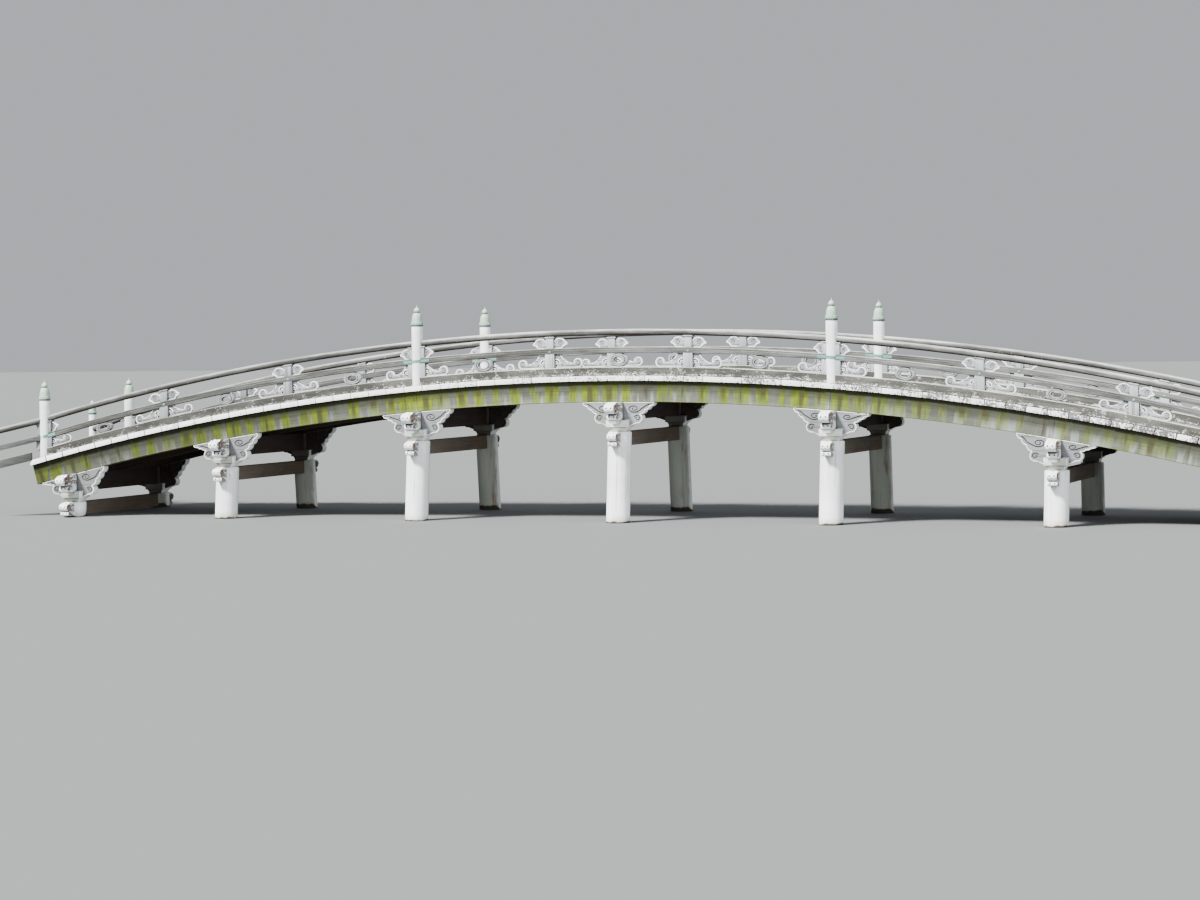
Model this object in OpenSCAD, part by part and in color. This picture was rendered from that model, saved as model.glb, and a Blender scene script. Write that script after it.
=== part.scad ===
// Timber moon bridge: an arched garden bridge on battered pile bents, with carved
// cloud brackets, nosed beam ends, scroll-panelled railings and capped round posts.
// X runs along the bridge, Y across it, Z up. The origin is at water level, under
// the middle of the bridge.

/* [Arch and bents] */
// Distance between neighbouring pile bents
bay = 4000; // [3700:50:4200]
// Distance from the last full bay to the end bent
end_bay = 3350; // [3000:50:3600]
// Length of deck past the centre of the end bent
deck_overrun = 900; // [760:10:1200]
// Radius of the deck's top surface
deck_r = 48400; // [46000:100:60000]
// Height of the middle piles above the water
mid_pile_h = 1650; // [1600:10:2600]
// Distance between the front and back rows of piles, girders and rails
row_spacing = 3320; // [2400:20:4200]

/* [Piles and tie beams] */
// Diameter of a pile
pile_d = 430; // [380:5:480]
// Outward slope of a pile, across the bridge, for each unit of height
pile_batter = 0.1; // [0:0.01:0.15]
// Width of a tie beam
tie_w = 170; // [120:5:220]
// Depth of a tie beam
tie_h = 260; // [180:5:290]
// Length of the tie beam's nosing past the pile's face
tie_nose_l = 290; // [220:5:360]

/* [Capital on each pile] */
// Width of the square bearing block
block_w = 400; // [360:5:440]
// Height of the bearing block's upright faces
block_h = 130; // [100:5:170]
// Width of the bearing block's foot
neck_w = 290; // [250:5:320]
// Height of the bearing block's tapered foot
neck_h = 80; // [60:5:110]
// Length of the nose on a bearing block's outer face
nose_l = 215; // [150:5:240]
// Width of that nose
nose_w = 150; // [110:5:180]
// Height of that nose
nose_h = 62; // [45:1:80]
// Height of the cloud bracket and cap beam over the bearing block, at the bent
bracket_h = 330; // [300:5:380]
// Thickness of a cloud bracket, across the bridge
bracket_t = 180; // [140:5:220]
// Reach of a bracket's tip, from the centre of the bent
bracket_reach = 690; // [640:5:740]
// Width of a cap beam
cap_w = 180; // [150:5:220]
// Length of the cap beam's nosing past the bracket's face
cap_nose_l = 540; // [440:10:620]

/* [Girders and deck] */
// Width of a girder
girder_w = 200; // [160:5:260]
// Depth of a girder
girder_h = 387; // [340:5:440]
// Thickness of the deck boards
deck_t = 95; // [70:5:120]
// Length of the deck boards, across the bridge
deck_w = 3680; // [3640:10:3800]
// Joint between the girders' ends over a bent
butt_gap = 2; // [1:1:6]

/* [Railing] */
// Radius of the arc of the handrail's axis
rail_r = 46800; // [46000:100:60000]
// Height of the handrail's top over the deck at mid-span
rail_h = 845; // [820:5:900]
// Diameter of the handrail
handrail_d = 115; // [100:1:125]
// Height of the mid rail's underside over the deck at mid-span
mid_rail_rise = 411; // [395:1:420]
// Depth of the mid rail
mid_rail_h = 108; // [95:1:115]
// Thickness of the mid rail
mid_rail_w = 120; // [100:5:145]
// Height of the ground sill
sill_h = 160; // [140:5:170]
// Thickness of the ground sill
sill_w = 160; // [130:5:190]
// Distance from the deck's end back to the end post
end_post_inset = 250; // [200:10:300]

/* [Struts and panels] */
// Width of a strut below the mid rail
strut_w = 178; // [150:2:200]
// Thickness of a strut
strut_t = 140; // [120:2:150]
// Width of a strut above the mid rail
strut_top_w = 146; // [120:2:160]
// Height of the small block on a strut
strut_cap_h = 38; // [25:1:50]
// Width of the strut that flanks a round post
flank_w = 344; // [300:2:380]
// Thickness of the carved panels
panel_t = 60; // [40:2:80]
// Reach of a cloud panel from the middle of its strut
panel_reach = 630; // [600:5:700]
// Radius of the volute at a cloud panel's end
volute_r = 88; // [75:1:95]
// Reach of the scroll over the mid rail, from the middle of its strut
scroll_reach = 335; // [310:5:350]
// Height of the scroll over the mid rail
scroll_h = 190; // [170:2:195]
// Width of a ring medallion
ring_w = 370; // [300:5:420]
// Thickness of a ring medallion
ring_t = 100; // [80:2:120]
// Width of a ring medallion's rim
ring_rim = 88; // [60:2:95]

/* [Round posts] */
// Diameter of a round post
post_d = 215; // [190:1:240]
// Height of a round post over the deck, up to its cap
post_h = 1141; // [1100:5:1250]
// Height of a post's cap
cap_h = 370; // [320:5:420]
// Thickness of the copper strap
strap_t = 4; // [3:1:8]
// Height of the copper strap
strap_h = 50; // [30:2:80]
// Reach of the copper strap along the mid rail, from the middle of the post
strap_reach = 255; // [200:5:300]

/* [Wing railings] */
// Length of a wing railing, along the bridge
wing_run = 1200; // [900:10:1500]
// Sideways spread of a wing railing
wing_spread = 560; // [300:10:800]
// Diameter of a wing post
wing_post_d = 160; // [130:1:190]
// Height of a wing post over its sill's underside, up to its cap
wing_post_h = 1080; // [1050:5:1150]
// Height of a wing post's cap
wing_cap_h = 290; // [250:5:330]

/* [Hidden] */

// Facets of a circle
coarse = 48;
// A size larger than the whole bridge is high
tall = 6000;
// Gap left where a curved piece rests in a curved seat
seat = 0.3;

// Heights at mid-span, and the two arc centres
stack_h = neck_h + block_h + bracket_h;
crown_z = mid_pile_h + stack_h + girder_h + deck_t;
deck_c = crown_z - deck_r;
rail_c = crown_z + rail_h - handrail_d / 2 - rail_r;

// Radii of the members that follow each arc
girder_top_r = deck_r - deck_t;
girder_low_r = girder_top_r - girder_h;
sill_top_r = deck_r + sill_h;
handrail_low_r = rail_r - handrail_d / 2 - seat;
mid_low_r = crown_z + mid_rail_rise - rail_c;
mid_top_r = mid_low_r + mid_rail_h;
mid_axis_r = mid_low_r + mid_rail_h / 2;

// Places along the bridge
deck_end = 2 * bay + end_bay + deck_overrun;
bents = [-2 * bay - end_bay, -2 * bay, -bay, 0, bay, 2 * bay, 2 * bay + end_bay];
end_post = deck_end - end_post_inset;
outer_step = (end_post - bay) / 3;
inner_step = 2 * bay / 3;
posts = [-end_post, -bay, bay, end_post];
struts = [-end_post + outer_step, -bay - outer_step, -bay + inner_step,
    bay - inner_step, bay + outer_step, end_post - outer_step];
stations = [posts[0], struts[0], struts[1], posts[1], struts[2],
    struts[3], posts[2], struts[4], struts[5], posts[3]];
last = len(stations) - 1;
ring_x = [for (i = [0:last - 1]) (stations[i] + stations[i + 1]) / 2];

// Rows across the bridge
row_y = row_spacing / 2;
front = -row_y;
back = row_y;

// Half-lengths of the beams that cross the bridge
tie_end = row_y + pile_d / 2 + tie_nose_l;
cap_end = row_y + bracket_t / 2 + cap_nose_l;

// The arcs are laid out in straight steps, one deck board long
boards_per_bay = 11;
arc_step = bay / boards_per_bay;
arc_steps = ceil((deck_end + bay / 4) / arc_step);
handrail_sides = 16;

function arc_z(centre, r, x) = centre + sqrt(r * r - x * x);
function arc_line(centre, r) = [for (i = [arc_steps:-1:-arc_steps])
    [i * arc_step, arc_z(centre, r, i * arc_step)]];
function slope(r, x) = -asin(x / r);
function girder_z(x) = arc_z(deck_c, girder_low_r, x);
function block_z(x) = girder_z(x) - bracket_h;
function pile_z(x) = girder_z(x) - stack_h;
function deck_z(x) = arc_z(deck_c, deck_r, x);
function oval(w, h, n = 32) = [for (i = [0:n - 1]) [w / 2 * cos(360 * i / n), h / 2 * sin(360 * i / n)]];

// Draws an outline of the bridge's long side as a plate t thick, centred on y
module upright(y, t) {
    translate([0, y + t / 2, 0])
        rotate([90, 0, 0])
            linear_extrude(t)
                children();
}

// Draws an outline of the bridge's cross-section as a plate t thick, centred on x
module crosswise(x, t) {
    translate([x - t / 2, 0, 0])
        rotate([90, 0, 90])
            linear_extrude(t)
                children();
}

// Height of the handrail's axis, on the straight steps of its arc
function handrail_z(x) =
    let(i = floor(x / arc_step), x0 = i * arc_step, x1 = x0 + arc_step,
        z0 = arc_z(rail_c, rail_r, x0), z1 = arc_z(rail_c, rail_r, x1))
    z0 + (z1 - z0) * (x - x0) / arc_step;

// Everything below an arc
module under_arc(centre, r) {
    reach = arc_steps * arc_step;
    polygon(concat(arc_line(centre, r), [[-reach, -tall], [reach, -tall]]));
}

// The band between two arcs, from one place along the bridge to another
module arc_band(centre, r_low, r_top, x0, x1) {
    intersection() {
        difference() {
            under_arc(centre, r_top);
            under_arc(centre, r_low);
        }
        translate([x0, -tall])
            square([x1 - x0, 2 * tall]);
    }
}

// Upright round cores of the posts in one row
module post_cores(y) {
    for (x = posts)
        translate([x, y, 0])
            cylinder(d = post_d, h = tall, $fn = coarse);
}

// One round pile, leaning outwards, cut level at its head and foot
module pile(x, side) {
    lean = atan(pile_batter);
    intersection() {
        translate([x, side * row_y, pile_z(x)])
            rotate([side * lean, 0, 0])
                translate([0, 0, -tall])
                    cylinder(d = pile_d, h = 2 * tall, $fn = coarse);
        translate([x - pile_d, -tall, 0])
            cube([2 * pile_d, 2 * tall, pile_z(x)]);
    }
}

module pile_pair(x) {
    color("gainsboro")
        difference() {
            for (side = [-1, 1])
                pile(x, side);
            translate([x - tie_w / 2, -tall, pile_z(x) - tie_h])
                cube([tie_w, 2 * tall, tie_h + 1]);
        }
}

// Carved end of a beam, seen from the side: an upper lip over a shorter lower one.
// The outline runs outwards from x = 0, down from y = 0, and laps back over the beam
module nosing(l, h, mouth, jaw) {
    lip_r = h * mouth / 2;
    jaw_r = h * (1 - mouth) / 2;
    lap = h / 4;
    difference() {
        union() {
            polygon([[-lap, -h], [jaw - jaw_r, -h], [jaw - jaw_r, -2 * lip_r], [l - lip_r, -2 * lip_r],
                [l - 0.5 * lip_r, -0.55 * lip_r], [l - 2.4 * lip_r, 0], [-lap, 0]]);
            translate([l - lip_r, -1.15 * lip_r])
                circle(0.85 * lip_r, $fn = coarse);
            translate([jaw - jaw_r, -h + jaw_r])
                circle(jaw_r, $fn = coarse);
        }
        translate([jaw, -2 * lip_r])
            circle(0.16 * lip_r, $fn = coarse);
    }
}

// Transverse beam through the heads of a pair of piles
module tie_beam(x) {
    reach = tie_end - row_y;
    color("darkgray")
        translate([0, 0, pile_z(x)])
            crosswise(x, tie_w) {
                translate([-row_y, -tie_h])
                    square([row_spacing, tie_h]);
                for (side = [0, 1])
                    mirror([side, 0])
                        translate([row_y, 0])
                            nosing(reach, tie_h, 0.66, reach - 0.2 * tie_nose_l);
            }
}

// Lower half of the crossing, where the bracket runs through under the cap beam
module bracket_halving(x, y) {
    translate([x - tall / 2, y - bracket_t / 2, block_z(x)])
        cube([tall, bracket_t, bracket_h / 2]);
}

// Transverse beam over the bearing blocks, with a carved head at each end
module cap_beam(x) {
    reach = cap_end - row_y;
    face_y = row_y + girder_w / 2;
    color("darkgray")
        difference() {
            intersection() {
                translate([0, 0, girder_z(x)])
                    crosswise(x, cap_w) {
                        translate([-face_y, -bracket_h])
                            square([2 * face_y, bracket_h + deck_t]);
                        for (side = [0, 1])
                            mirror([side, 0])
                                translate([row_y, 0])
                                    nosing(reach, bracket_h, 0.66, reach - 0.28 * cap_nose_l);
                    }
                upright(0, 2 * tall)
                    arc_band(deck_c, girder_low_r - tall / 2, girder_low_r, x - cap_w, x + cap_w);
            }
            for (y = [front, back])
                bracket_halving(x, y);
        }
}

// Square block with a hollowed, tapering foot, drawn from one side
module block_outline(z) {
    translate([0, z]) {
        translate([-block_w / 2, -block_h])
            square([block_w, block_h]);
        difference() {
            translate([-block_w / 2, -block_h - neck_h])
                square([block_w, neck_h + 1]);
            for (side = [-1, 1])
                translate([side * (neck_w / 2 + 2 * neck_h), -block_h - 1.3 * neck_h])
                    circle(2 * neck_h, $fn = coarse);
        }
    }
}

// Bearing blocks of one row, each with a short nose on its outer face
module bearing_blocks(y) {
    nose_reach = block_w / 2 + nose_l;
    color("silver")
        for (x = bents) {
            intersection() {
                upright(y, block_w)
                    translate([x, 0])
                        block_outline(block_z(x));
                crosswise(x, block_w)
                    translate([y, 0])
                        block_outline(block_z(x));
            }
            mirror([0, y < 0 ? 1 : 0, 0])
                crosswise(x, nose_w)
                    translate([row_y, block_z(x)])
                        polygon([[0, -nose_h], [nose_reach - nose_h / 2, -nose_h], [nose_reach, 0], [0, 0]]);
        }
}

// One side of a cloud bracket: a belly that hangs beside the block, a round lobe, and
// shallow scallops that climb from it to the tip under the girder
module bracket_side(x, side) {
    z = block_z(x);
    belly = 0.85 * block_h;
    lobe_r = 95;
    lobe = [block_w / 2 + 165, 36];
    tip_h = girder_z(x + side * bracket_reach) - z;
    scallops = 3;
    from = lobe + lobe_r * [0.68, 0.84];
    to = [bracket_reach, tip_h - 12];
    edge = to - from;
    pitch = norm(edge) / scallops;
    inwards = 0.56 * pitch * [-edge[1], edge[0]] / norm(edge);
    translate([x, z])
        mirror([side < 0 ? 1 : 0, 0]) {
            difference() {
                union() {
                    translate(lobe)
                        circle(lobe_r, $fn = coarse);
                    polygon([[0, -belly], [block_w / 2, -belly], lobe + lobe_r * [-0.2, -0.98], from,
                        to + inwards, [to[0] - pitch, tall], [0, tall]]);
                    for (i = [0:scallops - 1])
                        translate(from + edge * (i + 0.5) / scallops + inwards)
                            circle(0.75 * pitch, $fn = coarse);
                }
                translate([0, -block_h - 1])
                    square([block_w / 2, block_h + 1]);
                translate([bracket_reach, -tall])
                    square([tall, 3 * tall]);
            }
        }
}

module bracket_outline(x) {
    intersection() {
        union() {
            bracket_side(x, -1);
            bracket_side(x, 1);
        }
        arc_band(deck_c, girder_low_r - tall / 2, girder_low_r, x - bracket_reach - 1, x + bracket_reach + 1);
    }
}

module cloud_brackets(y) {
    color("lightgray")
        for (x = bents)
            difference() {
                upright(y, bracket_t)
                    bracket_outline(x);
                translate([x - cap_w / 2, y - bracket_t, block_z(x) + bracket_h / 2])
                    cube([cap_w, 2 * bracket_t, tall]);
            }
}

// Arched girder in lengths that butt over the bents
module girder(y) {
    cuts = [-deck_end, bents[1], bents[2], bents[3], bents[4], bents[5], deck_end];
    color("rosybrown")
        for (i = [0:len(cuts) - 2])
            upright(y, girder_w)
                arc_band(deck_c, girder_low_r, girder_top_r,
                    cuts[i] + butt_gap / 2, cuts[i + 1] - butt_gap / 2);
}

module deck() {
    color("lightslategray")
        upright(0, deck_w)
            arc_band(deck_c, girder_top_r, deck_r, -deck_end, deck_end);
}

module ground_sill(y) {
    color("gray")
        difference() {
            upright(y, sill_w)
                arc_band(deck_c, deck_r, sill_top_r, -end_post, end_post);
            post_cores(y);
        }
}

module mid_rail(y) {
    color("gray")
        difference() {
            upright(y, mid_rail_w)
                arc_band(rail_c, mid_low_r, mid_top_r, -end_post, end_post);
            post_cores(y);
        }
}

// Round handrail between two posts, swept along its arc and coped to the posts
module handrail_length(from, to) {
    n = handrail_sides;
    cope_r = post_d / 2 + 2 * seat;
    inner = [for (i = [-arc_steps:arc_steps])
        if (i * arc_step > from + post_d && i * arc_step < to - post_d) i * arc_step];
    rings = len(inner) + 2;
    section = [for (j = [0:n - 1]) handrail_d / 2 * [cos(360 * j / n), sin(360 * j / n)]];
    function cope(y) = sqrt(cope_r * cope_r - y * y);
    function place(k, y) = k == 0 ? from + cope(y) : k == rings - 1 ? to - cope(y) : inner[k - 1];
    points = [for (k = [0:rings - 1], p = section)
        let(x = place(k, p[0])) [x, p[0], handrail_z(x) + p[1]]];
    sides = [for (k = [0:rings - 2], j = [0:n - 1])
        [k * n + j, k * n + (j + 1) % n, (k + 1) * n + (j + 1) % n, (k + 1) * n + j]];
    end = (rings - 1) * n;
    first_cap = [for (j = [0:n / 2 - 1]) j == 0 ? [0, n - 1, 1] :
        j == n / 2 - 1 ? [j, j + 2, j + 1] : [j, n - j, n - j - 1, j + 1]];
    last_cap = [for (f = first_cap) [for (i = [len(f) - 1:-1:0]) end + f[i]]];
    polyhedron(points, concat(sides, first_cap, last_cap));
}

module handrail(y) {
    color("dimgray")
        for (i = [0:len(posts) - 2])
            translate([0, y, 0])
                handrail_length(posts[i], posts[i + 1]);
}

// Outline between the sill and the mid rail, over one stretch
module lower_space(x0, x1) {
    difference() {
        arc_band(rail_c, mid_low_r - tall / 4, mid_low_r, x0, x1);
        under_arc(deck_c, sill_top_r);
    }
}

// Outline between the mid rail and the handrail's underside, over one stretch
module upper_space(x0, x1) {
    arc_band(rail_c, mid_top_r, handrail_low_r, x0, x1);
}

// A strut, w wide at its foot, seen from the long side
module strut_outline(x, w, top_w) {
    lower_space(x - w / 2, x + w / 2);
    upper_space(x - top_w / 2, x + top_w / 2);
    arc_band(rail_c, handrail_low_r - strut_cap_h, handrail_low_r, x - w / 2, x + w / 2);
}

module railing_struts(y) {
    flank_top_w = flank_w - strut_w + strut_top_w;
    color("lightgray") {
        for (x = struts)
            upright(y, strut_t)
                strut_outline(x, strut_w, strut_top_w);
        difference() {
            for (x = posts)
                upright(y, strut_t)
                    strut_outline(x, flank_w, flank_top_w);
            post_cores(y);
        }
    }
}

// Cloud panel that spreads along the sill from the foot of a strut, w wide
module cloud_panel(x, side, w) {
    z = arc_z(deck_c, sill_top_r, x);
    top_reach = 225;
    sweep_r = 250;
    sweep = [panel_reach - 2 * volute_r, volute_r + sweep_r];
    eye_r = 66;
    eye = [w / 2 + 24, 92];
    translate([x, z])
        rotate(slope(deck_r, x + side * panel_reach / 2))
            mirror([side < 0 ? 1 : 0, 0]) {
                difference() {
                    translate([0, -volute_r])
                        square([panel_reach - volute_r, tall / 8]);
                    translate(sweep)
                        circle(sweep_r, $fn = coarse);
                    translate([sweep[0], sweep[1]])
                        square([tall, tall]);
                    translate([top_reach, sweep[1] - sweep_r / 3])
                        square([tall, tall]);
                    difference() {
                        translate(eye)
                            circle(eye_r, $fn = coarse);
                        translate(eye + [8, -22])
                            circle(eye_r, $fn = coarse);
                    }
                }
                translate([panel_reach - volute_r, volute_r - 4])
                    circle(volute_r, $fn = coarse);
            }
}

// Scroll that curls out from a strut over the mid rail
module scroll(x, side) {
    z = arc_z(rail_c, mid_top_r, x);
    body_r = 0.6 * scroll_h;
    tip_r = 34;
    translate([x, z])
        rotate(slope(rail_r, x + side * scroll_reach / 2))
            mirror([side < 0 ? 1 : 0, 0]) {
                translate([scroll_reach - body_r - tip_r, scroll_h - body_r])
                    circle(body_r, $fn = coarse);
                translate([scroll_reach - tip_r, 0.55 * scroll_h])
                    circle(tip_r, $fn = coarse);
                translate([0, -tip_r])
                    square([scroll_reach - body_r - tip_r, 0.65 * scroll_h + tip_r]);
            }
}

// Panels and scrolls on the sides of one strut that face along the railing
module strut_panels(x, sides, w, top_w) {
    for (side = sides) {
        near = side > 0 ? x + w / 2 : x - 2 * panel_reach;
        intersection() {
            lower_space(near, near + 2 * panel_reach - w / 2);
            cloud_panel(x, side, w);
        }
        near_top = side > 0 ? x + top_w / 2 : x - 2 * panel_reach;
        difference() {
            intersection() {
                upper_space(near_top, near_top + 2 * panel_reach - top_w / 2);
                scroll(x, side);
            }
            arc_band(rail_c, handrail_low_r - strut_cap_h, handrail_low_r, x - w / 2, x + w / 2);
        }
    }
}

module cloud_panels(y) {
    flank_top_w = flank_w - strut_w + strut_top_w;
    color("whitesmoke")
        upright(y, panel_t) {
            for (x = struts)
                strut_panels(x, [-1, 1], strut_w, strut_top_w);
            for (x = [posts[1], posts[2]])
                strut_panels(x, [-1, 1], flank_w, flank_top_w);
            strut_panels(posts[0], [1], flank_w, flank_top_w);
            strut_panels(posts[3], [-1], flank_w, flank_top_w);
        }
}

// Oval ring between the sill and the mid rail
module ring_medallion(x, y) {
    low = arc_z(deck_c, sill_top_r, x);
    high = arc_z(rail_c, mid_low_r, x);
    upright(y, ring_t)
        intersection() {
            lower_space(x - ring_w, x + ring_w);
            translate([x, (low + high) / 2])
                rotate(slope(deck_r, x))
                    difference() {
                        polygon(oval(ring_w, high - low + 4));
                        polygon(oval(ring_w - 2 * ring_rim, high - low - 1.5 * ring_rim));
                    }
        }
}

module ring_medallions() {
    color("whitesmoke")
        for (y = [front, back], x = ring_x)
            ring_medallion(x, y);
}

module round_posts() {
    color("white")
        for (y = [front, back])
            difference() {
                for (x = posts)
                    translate([x, y, 0])
                        cylinder(d = post_d, h = deck_z(x) + post_h, $fn = coarse);
                upright(y, 2 * post_d)
                    under_arc(deck_c, deck_r);
            }
}

// Half outline of an onion-shaped post cap, d wide at its rim and h high
function cap_profile(d, h) = [[0, 0], [0.5 * d, 0], [0.53 * d, 0.01 * h], [0.53 * d, 0.06 * h],
    [0.48 * d, 0.09 * h], [0.46 * d, 0.3 * h], [0.44 * d, 0.4 * h], [0.4 * d, 0.48 * h],
    [0.32 * d, 0.56 * h], [0.3 * d, 0.59 * h], [0.19 * d, 0.595 * h], [0.18 * d, 0.625 * h],
    [0.255 * d, 0.65 * h], [0.285 * d, 0.69 * h], [0.275 * d, 0.74 * h], [0.21 * d, 0.8 * h],
    [0.1 * d, 0.86 * h], [0.05 * d, 0.9 * h], [0.045 * d, 0.94 * h], [0.03 * d, 0.98 * h], [0, h]];

module post_cap(d, h) {
    rotate_extrude($fn = coarse)
        polygon(cap_profile(d, h));
}

module post_caps() {
    color("darkseagreen") {
        for (y = [front, back], x = posts)
            translate([x, y, deck_z(x) + post_h])
                post_cap(post_d, cap_h);
        for (along = [0, 1], across = [0, 1])
            mirror([along, 0, 0])
                mirror([0, across, 0])
                    translate([wing_x, wing_y, wing_z + wing_post_h])
                        post_cap(wing_post_d, wing_cap_h);
    }
}

// Copper strap that wraps a post, runs out along both faces of the mid rail
// and stops at the middle of an end post
module post_strap(x, y) {
    low_x = x < -bay ? x : x - strap_reach;
    high_x = x > bay ? x : x + strap_reach;
    difference() {
        intersection() {
            upright(y, 2 * post_d)
                arc_band(rail_c, mid_axis_r - strap_h / 2, mid_axis_r + strap_h / 2, low_x, high_x);
            union() {
                translate([x, y, 0])
                    cylinder(d = post_d + 2 * strap_t, h = tall, $fn = coarse);
                translate([x - strap_reach, y - mid_rail_w / 2 - strap_t, 0])
                    cube([2 * strap_reach, mid_rail_w + 2 * strap_t, tall]);
            }
        }
        translate([x, y, -1])
            cylinder(d = post_d, h = tall + 2, $fn = coarse);
        translate([x - strap_reach - 1, y - mid_rail_w / 2, -1])
            cube([2 * strap_reach + 2, mid_rail_w, tall + 2]);
    }
}

module post_straps() {
    color("cadetblue")
        for (y = [front, back], x = posts)
            post_strap(x, y);
}

// Wing railings fall and spread outwards from the end posts
wing_x = end_post + wing_run;
wing_y = row_y + wing_spread;
wing_len = norm([wing_run, wing_spread]);
wing_turn = atan(wing_spread / wing_run);
wing_grade = end_post / sqrt(deck_r * deck_r - end_post * end_post);
wing_fall = wing_grade * wing_run;
wing_z = deck_z(end_post) - wing_fall;

// Space over a wing railing's line, as wide as the sill
module wing_member(low, high, w) {
    translate([end_post, row_y, deck_z(end_post)])
        rotate([0, 0, wing_turn])
            translate([0, w / 2, 0])
                rotate([90, 0, 0])
                    linear_extrude(w)
                        polygon([[0, low], [wing_len, low - wing_fall],
                            [wing_len, high - wing_fall], [0, high]]);
}

module wing_railing() {
    mid_low = arc_z(rail_c, mid_low_r, end_post) - deck_z(end_post);
    hand_z = arc_z(rail_c, rail_r, end_post) - deck_z(end_post);
    difference() {
        union() {
            wing_member(0, sill_h, sill_w);
            wing_member(mid_low, mid_low + mid_rail_h, mid_rail_w);
            translate([end_post, row_y, deck_z(end_post) + hand_z])
                rotate([0, 90 + atan(wing_fall / wing_len), wing_turn])
                    cylinder(d = handrail_d, h = norm([wing_len, wing_fall]), $fn = coarse);
        }
        translate([end_post, row_y, 0])
            cylinder(d = post_d, h = tall, $fn = coarse);
        translate([wing_x, wing_y, 0])
            cylinder(d = wing_post_d, h = tall, $fn = coarse);
        upright(row_y, deck_w)
            arc_band(deck_c, girder_top_r, deck_r, 0, deck_end);
    }
}

module wing_rails() {
    color("gray")
        for (along = [0, 1], across = [0, 1])
            mirror([along, 0, 0])
                mirror([0, across, 0])
                    wing_railing();
}

module wing_posts() {
    color("white")
        for (along = [0, 1], across = [0, 1])
            mirror([along, 0, 0])
                mirror([0, across, 0])
                    translate([wing_x, wing_y, wing_z])
                        cylinder(d = wing_post_d, h = wing_post_h, $fn = coarse);
}

pile_pair(bents[0]);  // piles_1
pile_pair(bents[1]);  // piles_2
pile_pair(bents[2]);  // piles_3
pile_pair(bents[3]);  // piles_4
pile_pair(bents[4]);  // piles_5
pile_pair(bents[5]);  // piles_6
pile_pair(bents[6]);  // piles_7
tie_beam(bents[0]);  // tie_beam_1
tie_beam(bents[1]);  // tie_beam_2
tie_beam(bents[2]);  // tie_beam_3
tie_beam(bents[3]);  // tie_beam_4
tie_beam(bents[4]);  // tie_beam_5
tie_beam(bents[5]);  // tie_beam_6
tie_beam(bents[6]);  // tie_beam_7
cap_beam(bents[0]);  // cap_beam_1
cap_beam(bents[1]);  // cap_beam_2
cap_beam(bents[2]);  // cap_beam_3
cap_beam(bents[3]);  // cap_beam_4
cap_beam(bents[4]);  // cap_beam_5
cap_beam(bents[5]);  // cap_beam_6
cap_beam(bents[6]);  // cap_beam_7
bearing_blocks(front);  // front_bearing_blocks
bearing_blocks(back);  // back_bearing_blocks
cloud_brackets(front);  // front_cloud_brackets
cloud_brackets(back);  // back_cloud_brackets
girder(front);  // front_girder
girder(0);  // middle_girder
girder(back);  // back_girder
deck();
ground_sill(front);  // front_ground_sill
ground_sill(back);  // back_ground_sill
mid_rail(front);  // front_mid_rail
mid_rail(back);  // back_mid_rail
handrail(front);  // front_handrail
handrail(back);  // back_handrail
railing_struts(front);  // front_struts
railing_struts(back);  // back_struts
cloud_panels(front);  // front_cloud_panels
cloud_panels(back);  // back_cloud_panels
ring_medallions();
round_posts();
post_caps();
post_straps();
wing_posts();
wing_rails();
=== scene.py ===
"""Timber moon bridge: carved and weathered timbers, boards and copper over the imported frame."""
import math
import random

import bmesh
import bpy
from bmesh.types import BMEdge, BMFace, BMVert
from bpy.props import FloatProperty, FloatVectorProperty, IntProperty, PointerProperty
from mathutils import Matrix, Vector, noise


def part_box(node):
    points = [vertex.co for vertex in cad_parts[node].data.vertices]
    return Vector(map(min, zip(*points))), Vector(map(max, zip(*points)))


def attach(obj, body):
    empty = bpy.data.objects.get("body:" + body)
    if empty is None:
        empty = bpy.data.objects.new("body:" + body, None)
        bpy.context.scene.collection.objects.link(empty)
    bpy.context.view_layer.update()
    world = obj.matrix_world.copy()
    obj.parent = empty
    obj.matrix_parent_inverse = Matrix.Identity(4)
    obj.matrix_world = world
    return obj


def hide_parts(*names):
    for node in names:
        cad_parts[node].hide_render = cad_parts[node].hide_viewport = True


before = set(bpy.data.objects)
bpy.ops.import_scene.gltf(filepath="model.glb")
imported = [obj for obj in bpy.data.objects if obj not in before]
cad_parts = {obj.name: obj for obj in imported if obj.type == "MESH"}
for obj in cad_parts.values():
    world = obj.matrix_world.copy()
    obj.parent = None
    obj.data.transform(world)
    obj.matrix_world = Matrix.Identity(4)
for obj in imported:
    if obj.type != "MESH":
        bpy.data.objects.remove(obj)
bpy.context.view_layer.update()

bl_info = {
    "name": "Timber Moon Bridge",
    "version": (1, 0, 0),
    "blender": (4, 5, 0),
    "location": "3D View > Sidebar > Moon Bridge",
    "description": "Builds the visible timbers, carving and copper of an arched garden bridge",
    "category": "Object",
}

ROWS = {"front": -1, "back": 1}


def box_centre(node, axis):
    """Middle of a node's box along one axis."""
    low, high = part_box(node)
    return (low[axis] + high[axis]) / 2


class Arc:
    """An arc over the whole bridge, through a height at mid-span and a point at its end."""

    def __init__(self, crown, end_x, end_z):
        sag = crown - end_z
        self.radius = (end_x * end_x + sag * sag) / (2 * sag)
        self.centre = crown - self.radius

    def z(self, x, lift=0.0):
        """Height over x, on the arc or lifted off it."""
        reach = self.radius + lift
        return self.centre + math.sqrt(reach * reach - x * x)

    def slope(self, x):
        """Angle of the arc over x, positive where it climbs towards +X."""
        return -math.asin(x / self.radius)


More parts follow.
